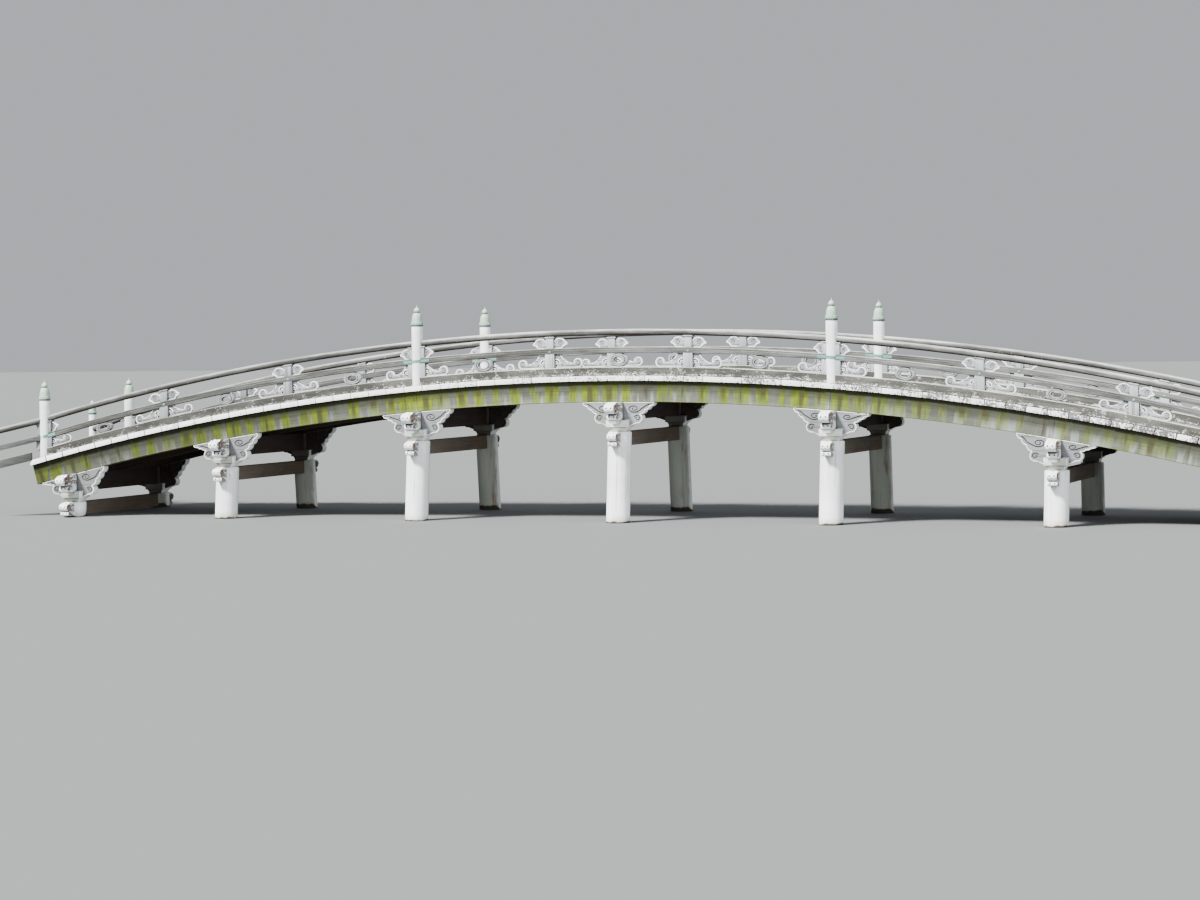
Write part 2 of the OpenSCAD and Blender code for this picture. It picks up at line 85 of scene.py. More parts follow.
# Places along and across the bridge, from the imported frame
BENTS = [box_centre(f"piles_{i}", 0) for i in range(1, 8)]
PILE_TOPS = [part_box(f"piles_{i}")[1].z for i in range(1, 8)]
ROW_Y = box_centre("back_girder", 1)
BAY = BENTS[4] - BENTS[3]
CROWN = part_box("deck")[1].z
DECK_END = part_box("deck")[1].x
DECK_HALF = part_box("deck")[1].y
GIRDER_W = 2 * (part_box("back_girder")[1].y - ROW_Y)
BOARD_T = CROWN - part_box("back_girder")[1].z
SILL_W = 2 * (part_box("back_ground_sill")[1].y - ROW_Y)
SILL_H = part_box("back_ground_sill")[1].z - CROWN
MID_W = 2 * (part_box("back_mid_rail")[1].y - ROW_Y)
MID_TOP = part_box("back_mid_rail")[1].z
HANDRAIL_D = 2 * (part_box("back_handrail")[1].y - ROW_Y)
HANDRAIL_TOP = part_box("back_handrail")[1].z
POST_D = 2 * (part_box("round_posts")[1].y - ROW_Y)
POST_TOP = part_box("round_posts")[1].z
END_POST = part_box("round_posts")[1].x - POST_D / 2
POSTS = [-END_POST, BENTS[2], BENTS[4], END_POST]
CAP_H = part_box("post_caps")[1].z - POST_TOP
BRACKET_T = 2 * (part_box("back_cloud_brackets")[1].y - ROW_Y)
BRACKET_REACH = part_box("back_cloud_brackets")[1].x - BENTS[6]
BLOCK_W = 2 * (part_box("back_bearing_blocks")[1].x - BENTS[6])
BLOCK_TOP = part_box("back_bearing_blocks")[1].z - PILE_TOPS[3]
TIE_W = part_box("tie_beam_4")[1].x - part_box("tie_beam_4")[0].x
TIE_H = PILE_TOPS[3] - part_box("tie_beam_4")[0].z
TIE_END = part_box("tie_beam_4")[1].y - ROW_Y
CAP_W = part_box("cap_beam_4")[1].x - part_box("cap_beam_4")[0].x
CAP_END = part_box("cap_beam_4")[1].y - ROW_Y
PANEL_T = 2 * (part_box("back_cloud_panels")[1].y - ROW_Y)
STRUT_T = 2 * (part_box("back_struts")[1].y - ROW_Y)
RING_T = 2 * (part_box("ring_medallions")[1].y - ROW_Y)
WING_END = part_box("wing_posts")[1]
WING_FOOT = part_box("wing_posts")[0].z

# The deck's arc runs along the boards' undersides, and the rails' along the handrail's axis
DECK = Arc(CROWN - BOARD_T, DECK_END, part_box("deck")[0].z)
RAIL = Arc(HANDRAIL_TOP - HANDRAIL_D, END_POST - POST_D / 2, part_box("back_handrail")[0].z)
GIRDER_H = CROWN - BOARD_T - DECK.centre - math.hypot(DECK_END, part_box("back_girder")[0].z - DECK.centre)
BRACKET_H = CROWN - BOARD_T - GIRDER_H - PILE_TOPS[3] - BLOCK_TOP
MID_LIFT = MID_TOP - (HANDRAIL_TOP - HANDRAIL_D)
SPACES = [(END_POST + POSTS[1]) / 3, 2 * BAY / 3]
STRUTS = [-END_POST + SPACES[0], -BAY - SPACES[0], -BAY + SPACES[1],
          BAY - SPACES[1], BAY + SPACES[0], END_POST - SPACES[0]]
STATIONS = sorted(POSTS + STRUTS)


def girder_low(x):
    """Height of the girders' underside."""
    return DECK.z(x, -GIRDER_H)


def deck_top(x):
    """Height of the boards' upper faces."""
    return DECK.z(x, BOARD_T)


def sill_top(x):
    """Height of the ground sills' upper faces."""
    return DECK.z(x, BOARD_T + SILL_H)


def mid_top(x):
    """Height of the mid rails' upper faces."""
    return RAIL.z(x, MID_LIFT)


def mid_low(x):
    """Height of the mid rails' undersides."""
    return RAIL.z(x, MID_LIFT - sizes().mid_rail_h)


# Sizes and colours

def length(name, default, description):
    """A size in metres."""
    return FloatProperty(name=name, description=description, default=default, unit="LENGTH")


def tint(name, default, description):
    """A colour."""
    return FloatVectorProperty(name=name, description=description, default=default, subtype="COLOR")


class BridgeSizes(bpy.types.PropertyGroup):
    """Sizes of the pieces that the frame doesn't fix."""

    boards: IntProperty(name="Boards", description="Number of deck boards", default=67, min=40, max=90)
    board_gap: length("Board gap", 0.007, "Open joint between boards")
    arris: length("Arris", 0.008, "Worn rounding of a timber's edge")
    rim: length("Rim", 0.022, "Width of the raised rim round a carving")
    recess: length("Recess", 0.009, "Depth of the field inside the rim")
    mid_rail_h: length("Mid rail", 0.108, "Depth of the mid rail")
    strut_w: length("Strut", 0.178, "Width of a strut's foot")
    strut_top_w: length("Strut head", 0.146, "Width of a strut over the mid rail")
    flank_w: length("Flank", 0.344, "Width of a strut that flanks a post")
    wing_post_d: length("Wing post", 0.16, "Diameter of a wing post")
    wing_cap_h: length("Wing cap", 0.29, "Height of a wing post's cap")
    stud: length("Stud", 0.011, "Radius of a copper stud")


class BridgeColours(bpy.types.PropertyGroup):
    """Colours of the weathered timber, its growths and the copper."""

    bleached: tint("Bleached", (0.91, 0.93, 0.93), "Sun-bleached timber")
    grey: tint("Grey", (0.178, 0.180, 0.180), "Weathered grey timber")
    panel: tint("Panel", (0.28, 0.295, 0.315), "Carved panel timber")
    lavender: tint("Lavender", (0.29, 0.31, 0.345), "Pale grey patches on the girders")
    block: tint("Block", (0.66, 0.70, 0.62), "Bearing block timber")
    rail: tint("Rail", (0.115, 0.114, 0.101), "Rail timber")
    # Brown painted shade on the tie beams between the rows
    between_rows_shade: tint("Umber", (0.105, 0.078, 0.050), "Brown timber between the rows")
    # Painted shade on undersides and under the deck, with damp darkening
    shade: tint("Shade", (0.030, 0.019, 0.014), "Damp timber under the deck")
    # Grey painted shade on the side of a pile that faces the other row
    far_pile_shade: tint("Far pile", (0.26, 0.28, 0.225), "Side of a pile that faces the other row")
    rust: tint("Rust", (0.19, 0.085, 0.045), "Rust-brown stain")
    # Also the painted shade in corners and hollows, besides real drips and splits
    stain: tint("Stain", (0.035, 0.030, 0.016), "Dark drip stain")
    splash: tint("Splash", (0.36, 0.25, 0.11), "Brown stain over the water")
    slime: tint("Slime", (0.03, 0.028, 0.022), "Wet band at the water")
    moss: tint("Moss", (0.135, 0.185, 0.004), "Yellow-green growth")
    # Painted shadow of the deck, with dirt, on the top of a girder's face; the foot colour is the end out of
    # that shadow
    deck_shadow_and_dirt: tint("Under the deck", (0.22, 0.24, 0.15), "What the top of a girder's face is multiplied by")
    girder_foot: tint("Girder foot", (0.95, 0.99, 0.85), "What the foot of a girder's face is multiplied by")
    lichen: tint("Lichen", (0.66, 0.68, 0.65), "Pale lichen")
    limewash: tint("Limewash", (0.92, 0.935, 0.925), "Old white wash on end grain")
    verdigris: tint("Verdigris", (0.40, 0.50, 0.37), "Aged copper")
    patina: tint("Patina", (0.12, 0.33, 0.29), "Sheltered teal copper")
    crevice: tint("Crevice", (0.02, 0.06, 0.055), "Copper in corners")
    floor: tint("Floor", (0.165, 0.175, 0.175), "Stage floor")
    sky: tint("Sky", (0.80, 0.84, 0.88), "Light from the sky")


def sizes():
    """The sizes that the panel shows."""
    return bpy.context.scene.bridge_sizes


def colours():
    """The colours that the panel shows."""
    return bpy.context.scene.bridge_colours


# Shapes

# Tone of the sunk faces, which paints shade and dirt into them. It is below 0, so a piece's own tone doesn't
# replace it and the timber is dark there
SHADE_AND_DIRT = -2.6
GROOVE_DEPTH = 0.012


def fresh():
    """An empty mesh with the layers that the timbers' materials read."""
    bm = bmesh.new()
    bm.verts.layers.float_vector.new("grain")
    bm.faces.layers.float.new("tone")
    bm.faces.layers.float.new("wash")
    return bm


def set_grain(bm, along="x", start=(0.0, 0.0, 0.0), mapping=None):
    """Stores where each vertex lies in its timber: along the grain first, then across it."""
    layer = bm.verts.layers.float_vector["grain"]
    order = {"x": (0, 1, 2), "y": (1, 0, 2), "z": (2, 0, 1)}[along]
    for vert in bm.verts:
        place = mapping(vert.co) if mapping else Vector(vert.co[i] for i in order)
        vert[layer] = place + Vector(start)
    return bm


def wash_faces(bm, wanted, amount=1.0):
    """Marks the faces for which wanted(face) is true as washed white."""
    layer = bm.faces.layers.float["wash"]
    for face in bm.faces:
        if wanted(face):
            face[layer] = amount
    return bm


def wash_rims(bm, amount):
    """Marks the cut edges of a flat carved piece as washed white."""
    return wash_faces(bm, lambda face: abs(face.normal.z) < 0.7, amount)


def sharp_edges(bm, least=0.7):
    """Edges whose faces turn by more than an angle."""
    return [e for e in bm.edges if len(e.link_faces) == 2 and e.calc_face_angle() > least]


def bevel(bm, edges, offset):
    """Rounds some edges, and returns what the tool made."""
    return bmesh.ops.bevel(bm, geom=edges, offset=offset, offset_type="OFFSET", segments=2,
                           profile=0.5, affect="EDGES", material=-1, clamp_overlap=True)


def soften(bm, offset):
    """Rounds all sharp edges."""
    bevel(bm, sharp_edges(bm), offset)
    return bm


def fill(bm, edges, side):
    """Lays faces between closed lines of edges."""
    return bmesh.ops.triangle_fill(bm, use_beauty=True, use_dissolve=False, edges=edges, normal=(0, 0, side))


def made_of(result, kind):
    """The vertices, edges or faces among what a tool made."""
    return [g for g in result["geom"] if isinstance(g, kind)]


def push(bm, face, move, scale=1.0):
    """Extrudes one face along a vector, scales it about the axis it stands on, and returns it."""
    face = made_of(bmesh.ops.extrude_face_region(bm, geom=[face, *face.edges]), BMFace)[0]
    bmesh.ops.translate(bm, verts=face.verts, vec=move)
    bmesh.ops.scale(bm, verts=face.verts, vec=(scale, scale, 1.0))
    return face


def bar(low, high, arris):
    """A straight squared timber between two corners."""
    bm = fresh()
    bmesh.ops.create_cube(bm, size=1.0)
    low, high = Vector(low), Vector(high)
    bmesh.ops.scale(bm, vec=high - low, verts=bm.verts)
    bmesh.ops.translate(bm, vec=(low + high) / 2, verts=bm.verts)
    return soften(bm, arris)


def between(x0, x1, y0, y1, low, high, arris):
    """An upright timber whose foot and head follow the heights low(x) and high(x)."""
    bm = fresh()
    bmesh.ops.create_cube(bm, size=1.0)
    for vert in bm.verts:
        x = x1 if vert.co.x > 0 else x0
        vert.co = (x, y1 if vert.co.y > 0 else y0, high(x) if vert.co.z > 0 else low(x))
    return soften(bm, arris)


def section(width, low, high, arris, groove=None):
    """Cross-section of a long timber as points (y, height), chamfered, with grooved sides if asked."""
    half = width / 2
    right = [(half - arris, low), (half, low + arris)]
    if groove:
        height, depth = groove
        right += [(half, height - depth), (half - depth, height), (half, height + depth)]
    right += [(half, high - arris), (half - arris, high)]
    return right + [(-y, z) for y, z in reversed(right)]


def along_arc(arc, outline, x0, x1, step=0.2, start=(0.0, 0.0, 0.0)):
    """A long timber that follows an arc: outline points are (y, lift off the arc)."""
    bm = fresh()
    a0, a1 = math.asin(x0 / arc.radius), math.asin(x1 / arc.radius)
    verts = []
    for y, lift in outline:
        reach = arc.radius + lift
        verts.append(bm.verts.new((reach * math.sin(a0), y, arc.centre + reach * math.cos(a0))))
    face = bm.faces.new(verts)
    bmesh.ops.spin(bm, geom=[face, *face.edges, *face.verts], cent=(0, 0, arc.centre), axis=(0, 1, 0),
                   dvec=(0, 0, 0), angle=a1 - a0, steps=max(1, round((x1 - x0) / step)), use_merge=False,
                   use_normal_flip=False, use_duplicate=False)
    bmesh.ops.recalc_face_normals(bm, faces=bm.faces)

    def unrolled(co):
        """A vertex's place if the timber lay straight."""
        reach = math.hypot(co.x, co.z - arc.centre)
        return Vector((arc.radius * math.atan2(co.x, co.z - arc.centre), co.y, reach - arc.radius))
    return set_grain(bm, start=start, mapping=unrolled)


def turned(profile, steps=40):
    """A turned shape about Z from points (radius, height), foot first, both ends on the axis."""
    bm = fresh()
    verts = [bm.verts.new((r, 0, z)) for r, z in profile]
    edges = [bm.edges.new(pair) for pair in zip(verts, verts[1:])]
    bmesh.ops.spin(bm, geom=verts + edges, cent=(0, 0, 0), axis=(0, 0, 1), dvec=(0, 0, 0), angle=math.tau,
                   steps=steps, use_merge=True, use_normal_flip=False, use_duplicate=False)
    bmesh.ops.remove_doubles(bm, verts=bm.verts, dist=1e-5)
    bmesh.ops.recalc_face_normals(bm, faces=bm.faces)
    return set_grain(bm, "z")


def arc_points(x, y, radius, start, end, steps):
    """Points on a circle from one angle to another, in degrees."""
    angles = [math.radians(start + (end - start) * i / steps) for i in range(steps + 1)]
    return [(x + radius * math.cos(a), y + radius * math.sin(a)) for a in angles]


def oval(width, height, steps=36):
    """Points of an oval about the origin."""
    return [(width / 2 * math.cos(math.tau * i / steps), height / 2 * math.sin(math.tau * i / steps))
            for i in range(steps)]


def closed_line(bm, points, z):
    """Edges of a closed line through points at one height."""
    verts = [bm.verts.new((x, y, z)) for x, y in points]
    return [bm.edges.new((verts[i - 1], verts[i])) for i in range(len(verts))]


def cut_grooves(bm, field, grooves, depth, side):
    """Lays a flat field of faces again round some closed lines, and sinks what lies inside them."""
    height = field[0].calc_center_median().z
    border = [e for e in {e for f in field for e in f.edges} if sum(f in field for f in e.link_faces) == 1]
    bmesh.ops.delete(bm, geom=field, context="FACES")
    lines = [closed_line(bm, points, height) for points in grooves]
    fill(bm, border + [e for line in lines for e in line], side)
    tone = bm.faces.layers.float["tone"]
    for line in lines:
        walls = bmesh.ops.extrude_edge_only(bm, edges=line)
        bmesh.ops.translate(bm, vec=(0, 0, -side * depth), verts=made_of(walls, BMVert))
        low = [e for e in made_of(walls, BMEdge)
               if all(abs(v.co.z - height + side * depth) < 1e-5 for v in e.verts)]
        floor = fill(bm, low, side)
        # The grooves' floors and walls are painted dark: painted shade, with dirt
        for face in made_of(floor, BMFace) + made_of(walls, BMFace):
            face[tone] = SHADE_AND_DIRT


def inset(bm, field, thickness, depth, layer, value):
    """Draws a field of faces in, and marks the faces that this makes round it."""
    made = bmesh.ops.inset_region(bm, faces=field, thickness=thickness, depth=depth, use_boundary=True,
                                  use_even_offset=False)
    for face in made["faces"]:
        face[bm.faces.layers.float[layer]] = value


def plate(loops, thickness, arris, rim=0.0, recess=0.0, rim_wash=0.0, grooves=()):
    """A flat carved piece from an outline and its holes, with a sunk and grooved field in a raised rim."""
    bm = fresh()
    fill(bm, [e for points in loops for e in closed_line(bm, points, -thickness / 2)], 1)
    made = bmesh.ops.extrude_face_region(bm, geom=bm.faces[:])
    bmesh.ops.translate(bm, vec=(0, 0, thickness), verts=made_of(made, BMVert))
    bmesh.ops.recalc_face_normals(bm, faces=bm.faces)
    bevel(bm, [e for e in sharp_edges(bm, 1.2) if abs(e.verts[0].co.z - e.verts[1].co.z) < 1e-6], arris)
    for side in (-1, 1) if recess or grooves else ():
        bm.faces.ensure_lookup_table()
        field = [f for f in bm.faces if f.normal.z * side > 0.999 and f.calc_center_median().z * side > 0]
        if recess:
            inset(bm, field, rim, 0, "wash", rim_wash)
            # The step down into the sunk field is painted dark: painted shade, with dirt
            inset(bm, field, recess * 0.8, -recess, "tone", SHADE_AND_DIRT)
        if grooves:
            cut_grooves(bm, field, grooves, GROOVE_DEPTH, side)
    bmesh.ops.recalc_face_normals(bm, faces=bm.faces)
    return set_grain(bm)


def whorl(radius, turns=1.6, start=0.0, hand=1, inner=0.22, squash=1.0, steps=22):
    """Points of a spiral line that winds inwards about the origin."""
    points = []
    for i in range(steps + 1):
        t = i / steps
        reach = radius * (1 - (1 - inner) * t)
        angle = math.radians(start) + hand * math.tau * turns * t
        points.append((reach * math.cos(angle), squash * reach * math.sin(angle)))
    return points


def ribbon(points, start, end):
    """Outline of a band along a path, whose width goes from start to end."""
    left, right = [], []
    for i, (x, y) in enumerate(points):
        ahead = Vector(points[min(i + 1, len(points) - 1)]) - Vector(points[max(i - 1, 0)])
        half = (start + (end - start) * i / (len(points) - 1)) / 2
        off = Vector((-ahead.y, ahead.x)).normalized() * half
        left.append((x + off.x, y + off.y))
        right.append((x - off.x, y - off.y))
    return left + right[::-1]


def lump(radii, subdivisions=2):
    """A rounded boss with the given half-sizes."""
    bm = fresh()
    bmesh.ops.create_icosphere(bm, subdivisions=subdivisions, radius=1.0)
    bmesh.ops.scale(bm, vec=radii, verts=bm.verts)
    return set_grain(bm)


def at(x, y, z=0.0):
    """A place for a shape."""
    return Matrix.Translation((x, y, z))


def turn(angle, axis_name):
    """A turn about one axis."""
    return Matrix.Rotation(angle, 4, axis_name)


def mirror(x, y=1):
    """The mirror image of a shape, where x or y is -1."""
    return Matrix.Diagonal((x, y, 1, 1))


UPRIGHT = turn(math.pi / 2, "X")


def standing(x, y, z, tilt=0.0):
    """Stands a plate up so that its X runs along the bridge and its face looks to the front."""
    return at(x, y, z) @ turn(-tilt, "Y") @ UPRIGHT


class Piece:
    """Gathers finished shapes into one object."""

    def __init__(self, name, seed=1):
        self.name = name
        self.bm = fresh()
        self.random = random.Random(seed)

    def add(self, shape, place=Matrix(), tone=None, wash=None):
        """Takes a shape in at its place, and gives it a tone of its own."""
        mesh = bpy.data.meshes.new("shape")
        tone_layer = shape.faces.layers.float["tone"]
        wash_layer = shape.faces.layers.float["wash"]
        tone = self.random.random() if tone is None else tone
        for face in shape.faces:
            if face[tone_layer] >= 0:
                face[tone_layer] = tone
            if wash is not None:
                face[wash_layer] = wash
        shape.to_mesh(mesh)
        shape.free()
        mesh.transform(place)
        if place.determinant() < 0:
            mesh.flip_normals()
        self.bm.from_mesh(mesh)
        bpy.data.meshes.remove(mesh)

    def finish(self, material, slot, *nodes, smooth=35):
        """Makes the object in the finish of that name. It stands for its CAD nodes."""
        mesh = bpy.data.meshes.new(self.name)
        self.bm.to_mesh(mesh)
        self.bm.free()
        mesh.polygons.foreach_set("use_smooth", [True] * len(mesh.polygons))
        mesh.set_sharp_from_angle(angle=math.radians(smooth))
        mesh.materials.append(bpy.data.materials[material])
        piece = bpy.data.objects.new(self.name, mesh)
        bpy.context.scene.collection.objects.link(piece)
        if nodes:
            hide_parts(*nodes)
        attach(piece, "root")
        return piece


# Materials

class Value:
    """A node's output, which adds, subtracts, multiplies and divides as a number does."""

    def __init__(self, node, output):
        self.socket = node.outputs[output]
        self.tree = node.id_data

    def calc(self, operation, *others):
        """A Math node with this value as its first input."""
        return put(self.tree, "Math", 0, dict(enumerate((self, *others))), operation=operation)

    def __add__(self, other):
        return self.calc("ADD", other)

    def __sub__(self, other):
        return self.calc("SUBTRACT", other)

    def __mul__(self, other):
        return self.calc("MULTIPLY", other)

    def __truediv__(self, other):
        return self.calc("DIVIDE", other)


def wire(node, values):
    """Links or sets a node's inputs."""
    for key, value in values.items():
        if isinstance(value, Value):
            node.id_data.links.new(value.socket, node.inputs[key])
        else:
            node.inputs[key].default_value = value


def put(tree, kind, output, values=None, **settings):
    """Adds a node, sets it, wires its inputs and returns one of its outputs."""
    node = tree.nodes.new("ShaderNode" + kind)
    for name, value in settings.items():
        setattr(node, name, value)
    wire(node, values or {})
    return Value(node, output)


def spread(value, low, high, to_low=0.0, to_high=1.0):
    """Smoothly maps a value from one range to another."""
    ends = {"From Min": low, "From Max": high, "To Min": to_low, "To Max": to_high}
    return put(value.tree, "MapRange", "Result", {"Value": value, **ends}, interpolation_type="SMOOTHSTEP")


def mix(factor, a, b, mode="MIX"):
    """Mixes two colours, each a node's output or a plain colour."""
    tree = next(v.tree for v in (factor, a, b) if isinstance(v, Value))
    a, b = (v if isinstance(v, Value) else (*v[:3], 1.0) for v in (a, b))
    return put(tree, "Mix", 2, {0: factor, 6: a, 7: b}, data_type="RGBA", blend_type=mode)


def dim(colour, amount):
    """Multiplies a colour by a value."""
    grey = put(colour.tree, "CombineColor", 0, {channel: amount for channel in range(3)})
    return mix(1.0, colour, grey, "MULTIPLY")


def times(colour, factor):
    """A plain colour, darker or paler."""
    return [v * factor for v in colour]


def axis(vector, name):
    """One part of a vector."""
    return put(vector.tree, "SeparateXYZ", name, {0: vector})


def stretch(vector, scale):
    """A vector multiplied axis by axis."""
    return put(vector.tree, "VectorMath", 0, {0: vector, 1: scale}, operation="MULTIPLY")


def cloudy(vector, scale, detail=4.0, rough=0.55, distortion=0.0):
    """A noise value, from about 0.25 to 0.75. Its scale is one number, or one for each axis."""
    if isinstance(scale, tuple):
        vector, scale = stretch(vector, scale), 1.0
    return put(vector.tree, "TexNoise", 0, {"Vector": vector, "Scale": scale, "Detail": detail,
                                            "Roughness": rough, "Distortion": distortion})


def attribute(tree, name, output):
    """A layer of the mesh, as fresh() makes them."""
    return put(tree, "Attribute", output, attribute_name=name, attribute_type="GEOMETRY")


def make_group(name, build, outputs, **inputs):
    """A node group from a place and other inputs, whose outputs build() gives in order."""
    tree = bpy.data.node_groups.new(name, "ShaderNodeTree")
    tree.interface.new_socket(name="Place", in_out="INPUT", socket_type="NodeSocketVector")
    for socket, default in inputs.items():
        made = tree.interface.new_socket(name=socket, in_out="INPUT", socket_type="NodeSocketFloat")
        made.default_value = default
    for socket in outputs:
        tree.interface.new_socket(name=socket, in_out="OUTPUT", socket_type="NodeSocketFloat")
    start = tree.nodes.new("NodeGroupInput")
    results = build(*(Value(start, socket) for socket in ("Place", *inputs)))
    wire(tree.nodes.new("NodeGroupOutput"), dict(zip(outputs, results)))


def use_group(name, place, **values):
    """Puts a shared group in and returns its outputs by name."""
    node = place.tree.nodes.new("ShaderNodeGroup")
    node.node_tree = bpy.data.node_groups[name]
    wire(node, {"Place": place, **values})
    return {socket.name: Value(node, socket.name) for socket in node.outputs}


def build_grain(place):
    """Fibres and open splits that run along the timber."""
    wide = cloudy(place, (0.9, 9.0, 9.0), 5.0, 0.6, 0.4)
    fibre = cloudy(place, (4.0, 110.0, 110.0), 4.0, 0.65)
    splits = spread(cloudy(place, (1.1, 38.0, 38.0), 2.0, 0.5, 0.2), 0.60, 0.66)
    return spread(fibre * 0.55 + wide * 0.75, 0.42, 0.86), splits, fibre * 0.5 + wide - splits


def build_faces(place, reach):
    """Masks of what looks up, what looks down, what lies in corners, and what faces the other row and what
    lies between the rows: the materials paint a highlight with the first, and painted shade with the other
    three.
    """
    normal = put(place.tree, "NewGeometry", "Normal")
    rough = cloudy(place, 6.0) * 0.5 - 0.25
    up = axis(normal, "Z") + rough
    across = axis(place, "Y")
    inner = spread(axis(normal, "Y") * across.calc("SIGN") + rough, -0.05, -0.6)
    between_rows = spread(across.calc("ABSOLUTE"), ROW_Y - 0.12, ROW_Y - 0.26)
    corner = put(place.tree, "AmbientOcclusion", "AO", {"Distance": reach}, samples=4)
    return (spread(up, 0.15, 0.85), spread(up, -0.25, -0.8), spread(corner, 0.85, 0.35),
            inner.calc("MAXIMUM", between_rows))


def build_lichen(place, amount):
    """Pale crusts in patches of small round spots."""
    spots = put(place.tree, "TexVoronoi", "Distance", {"Vector": place, "Scale": 46.0, "Randomness": 1.0})
    patch = cloudy(place, 3.2, 6.0, 0.68)
    fine = cloudy(place, 30.0, 3.0, 0.6)
    return [spread(patch * 1.5 + amount + fine * 0.9 - spots * 0.6, 1.32, 1.62)]


def build_flaking(place, wash):
    """Old wash that has flaked off in chips along the grain."""
    chips = cloudy(place, (12.0, 30.0, 30.0), 5.0, 0.7)
    large = cloudy(place, 2.6, 3.0, 0.6)
    return [spread(chips + large * 0.6 + (wash * 0.62 - 0.62), 0.52, 0.62)]


def build_streaks(place, pitch, depth, seed):
    """Moss and dark drips that run down from the joints between the boards."""
    along = axis(place, "X") / pitch + 0.5
    cell = (along + 0.5).calc("FLOOR")
    first, second, third = (put(place.tree, "TexWhiteNoise", "Value", {"W": cell + (seed + shift)},
                                noise_dimensions="1D") for shift in (0.0, 31.7, 57.3))
    fine = cloudy(place, (30.0, 30.0, 2.2), 5.0, 0.6)
    broad = cloudy(place, (7.0, 7.0, 0.9), 3.0, 0.5, 0.4)
    region = spread(cloudy(place, (0.30, 0.0, 0.0), 2.0), 0.36, 0.58)
    ragged = fine * 0.9 + broad * 0.7 - 0.8
    fallen = axis(place, "Z") * -1.0 / depth
    off = (along - cell - (third * 0.24 - 0.12)).calc("ABSOLUTE")
    # Moss spreads round each joint, wider at some joints and in some stretches than in others
    width = first * 0.30 + 0.08 + region * 0.14
    moss = spread(off + ragged * 1.1 - width, 0.10, -0.08)
    # The end at +X stands in the open and carries less moss
    strength = spread(second + region * 0.75, 0.32, 0.80) * spread(axis(place, "X"), 3.0, 6.5, 1.0, 0.45)
    moss = moss * strength * spread(ragged * 1.8 + fallen, 1.50, 0.75, 0.30, 1.0)
    # A dark drip runs down from the joint itself
    drip = spread(ragged * 0.45 + off - (third * 0.12 + 0.02), 0.09, -0.03)
    drip = drip * spread(ragged * 0.9 + fallen - (first + 0.35), 0.25, -0.45)
    lines = spread(fine, 0.55, 0.70) * 0.35
    level = spread(ragged * 0.35 + fallen, -0.05, 1.15)
    edge = spread(fallen, 0.93, 0.985) * spread(broad, 0.40, 0.60)
    return moss.calc("MAXIMUM", edge), drip.calc("MAXIMUM", lines), broad, level, fine


def build_groups():
    """Makes the weathering groups that the materials share."""
    make_group("Timber grain", build_grain, ("Tone", "Splits", "Height"))
    make_group("Exposed faces", build_faces, ("Top", "Under", "Corner", "Shade under deck"), Reach=0.05)
    make_group("Lichen", build_lichen, ("Mask",), Amount=0.0)
    make_group("Flaking wash", build_flaking, ("Mask",), Wash=1.0)
    make_group("Board streaks", build_streaks, ("Moss", "Drip", "Broad", "Level", "Fine"),
               Pitch=0.36, Depth=0.39, Seed=0.0)


def new_material(name):
    """An empty finish, with its node tree and its shader."""
    material = bpy.data.materials.new(name)
    material.use_nodes = True
    return material.node_tree, material.node_tree.nodes["Principled BSDF"]


def relief(height, strength, distance):
    """The normal of a surface with fine relief."""
    return put(height.tree, "Bump", "Normal", {"Height": height, "Strength": strength, "Distance": distance})


def timber(name, base, pale, dark, top=0.8, under=0.6, lichen=-0.1, corner=0.6, tones=0.25, extra=None,
           bump=0.35, shelter=0.0, minus_x_dim=0.66, sheltered=None, split=0.55):
    """A weathered timber: grain, own tones, tops paled by bleaching and a painted highlight, undersides in
    painted shade with damp, lichen, splits, wash, and painted shade with dirt in corners and under the deck.
    """
    tree, shader = new_material(name)
    c = colours()
    place = attribute(tree, "grain", "Vector")
    world = put(tree, "TexCoord", "Object")
    grain = use_group("Timber grain", place)
    faces = use_group("Exposed faces", world, Reach=0.06)
    tone = attribute(tree, "tone", "Fac") * tones + (1.0 - tones / 2)
    blotch = spread(cloudy(world, 0.9, 5.0, 0.6), 0.3, 0.7, 0.86, 1.12)
    colour = dim(mix(grain["Tone"], dark, base), tone * blotch)
    # Tops turn pale: sun bleaching and lichen, and a painted highlight
    colour = mix(faces["Top"] * top, colour, pale)
    if extra:
        colour = extra(colour, place, world, faces)
    # The timber is darker towards the end at -X
    colour = dim(colour, spread(axis(world, "X"), -8.5, -3.0, minus_x_dim, 1.0))
    # Undersides darken: painted shade, with damp
    colour = mix(faces["Under"] * under, colour, c.shade)
    spots = use_group("Lichen", world, Amount=lichen)["Mask"]
    colour = mix(spots * 0.85, colour, c.lichen)
    colour = mix(grain["Splits"] * split, colour, c.stain)
    wash = attribute(tree, "wash", "Fac")
    flakes = use_group("Flaking wash", place, Wash=wash)["Mask"] * spread(wash, 0.0, 0.4)
    colour = mix(flakes, colour, c.limewash)
    # Faces that look to the other row, and timber between the rows, take painted shade in the sheltered
    # colour
    colour = mix(faces["Shade under deck"] * shelter, colour, sheltered or c.shade)
    # Corners and hollows darken: painted shade, with dirt
    colour = mix(faces["Corner"] * corner, colour, c.stain)
    height = grain["Height"] + (spots + flakes) * 0.35
    wire(shader, {"Base Color": colour, "Roughness": grain["Tone"] * -0.12 + 0.95,
                  "Specular IOR Level": 0.25, "Normal": relief(height, bump, 0.006)})


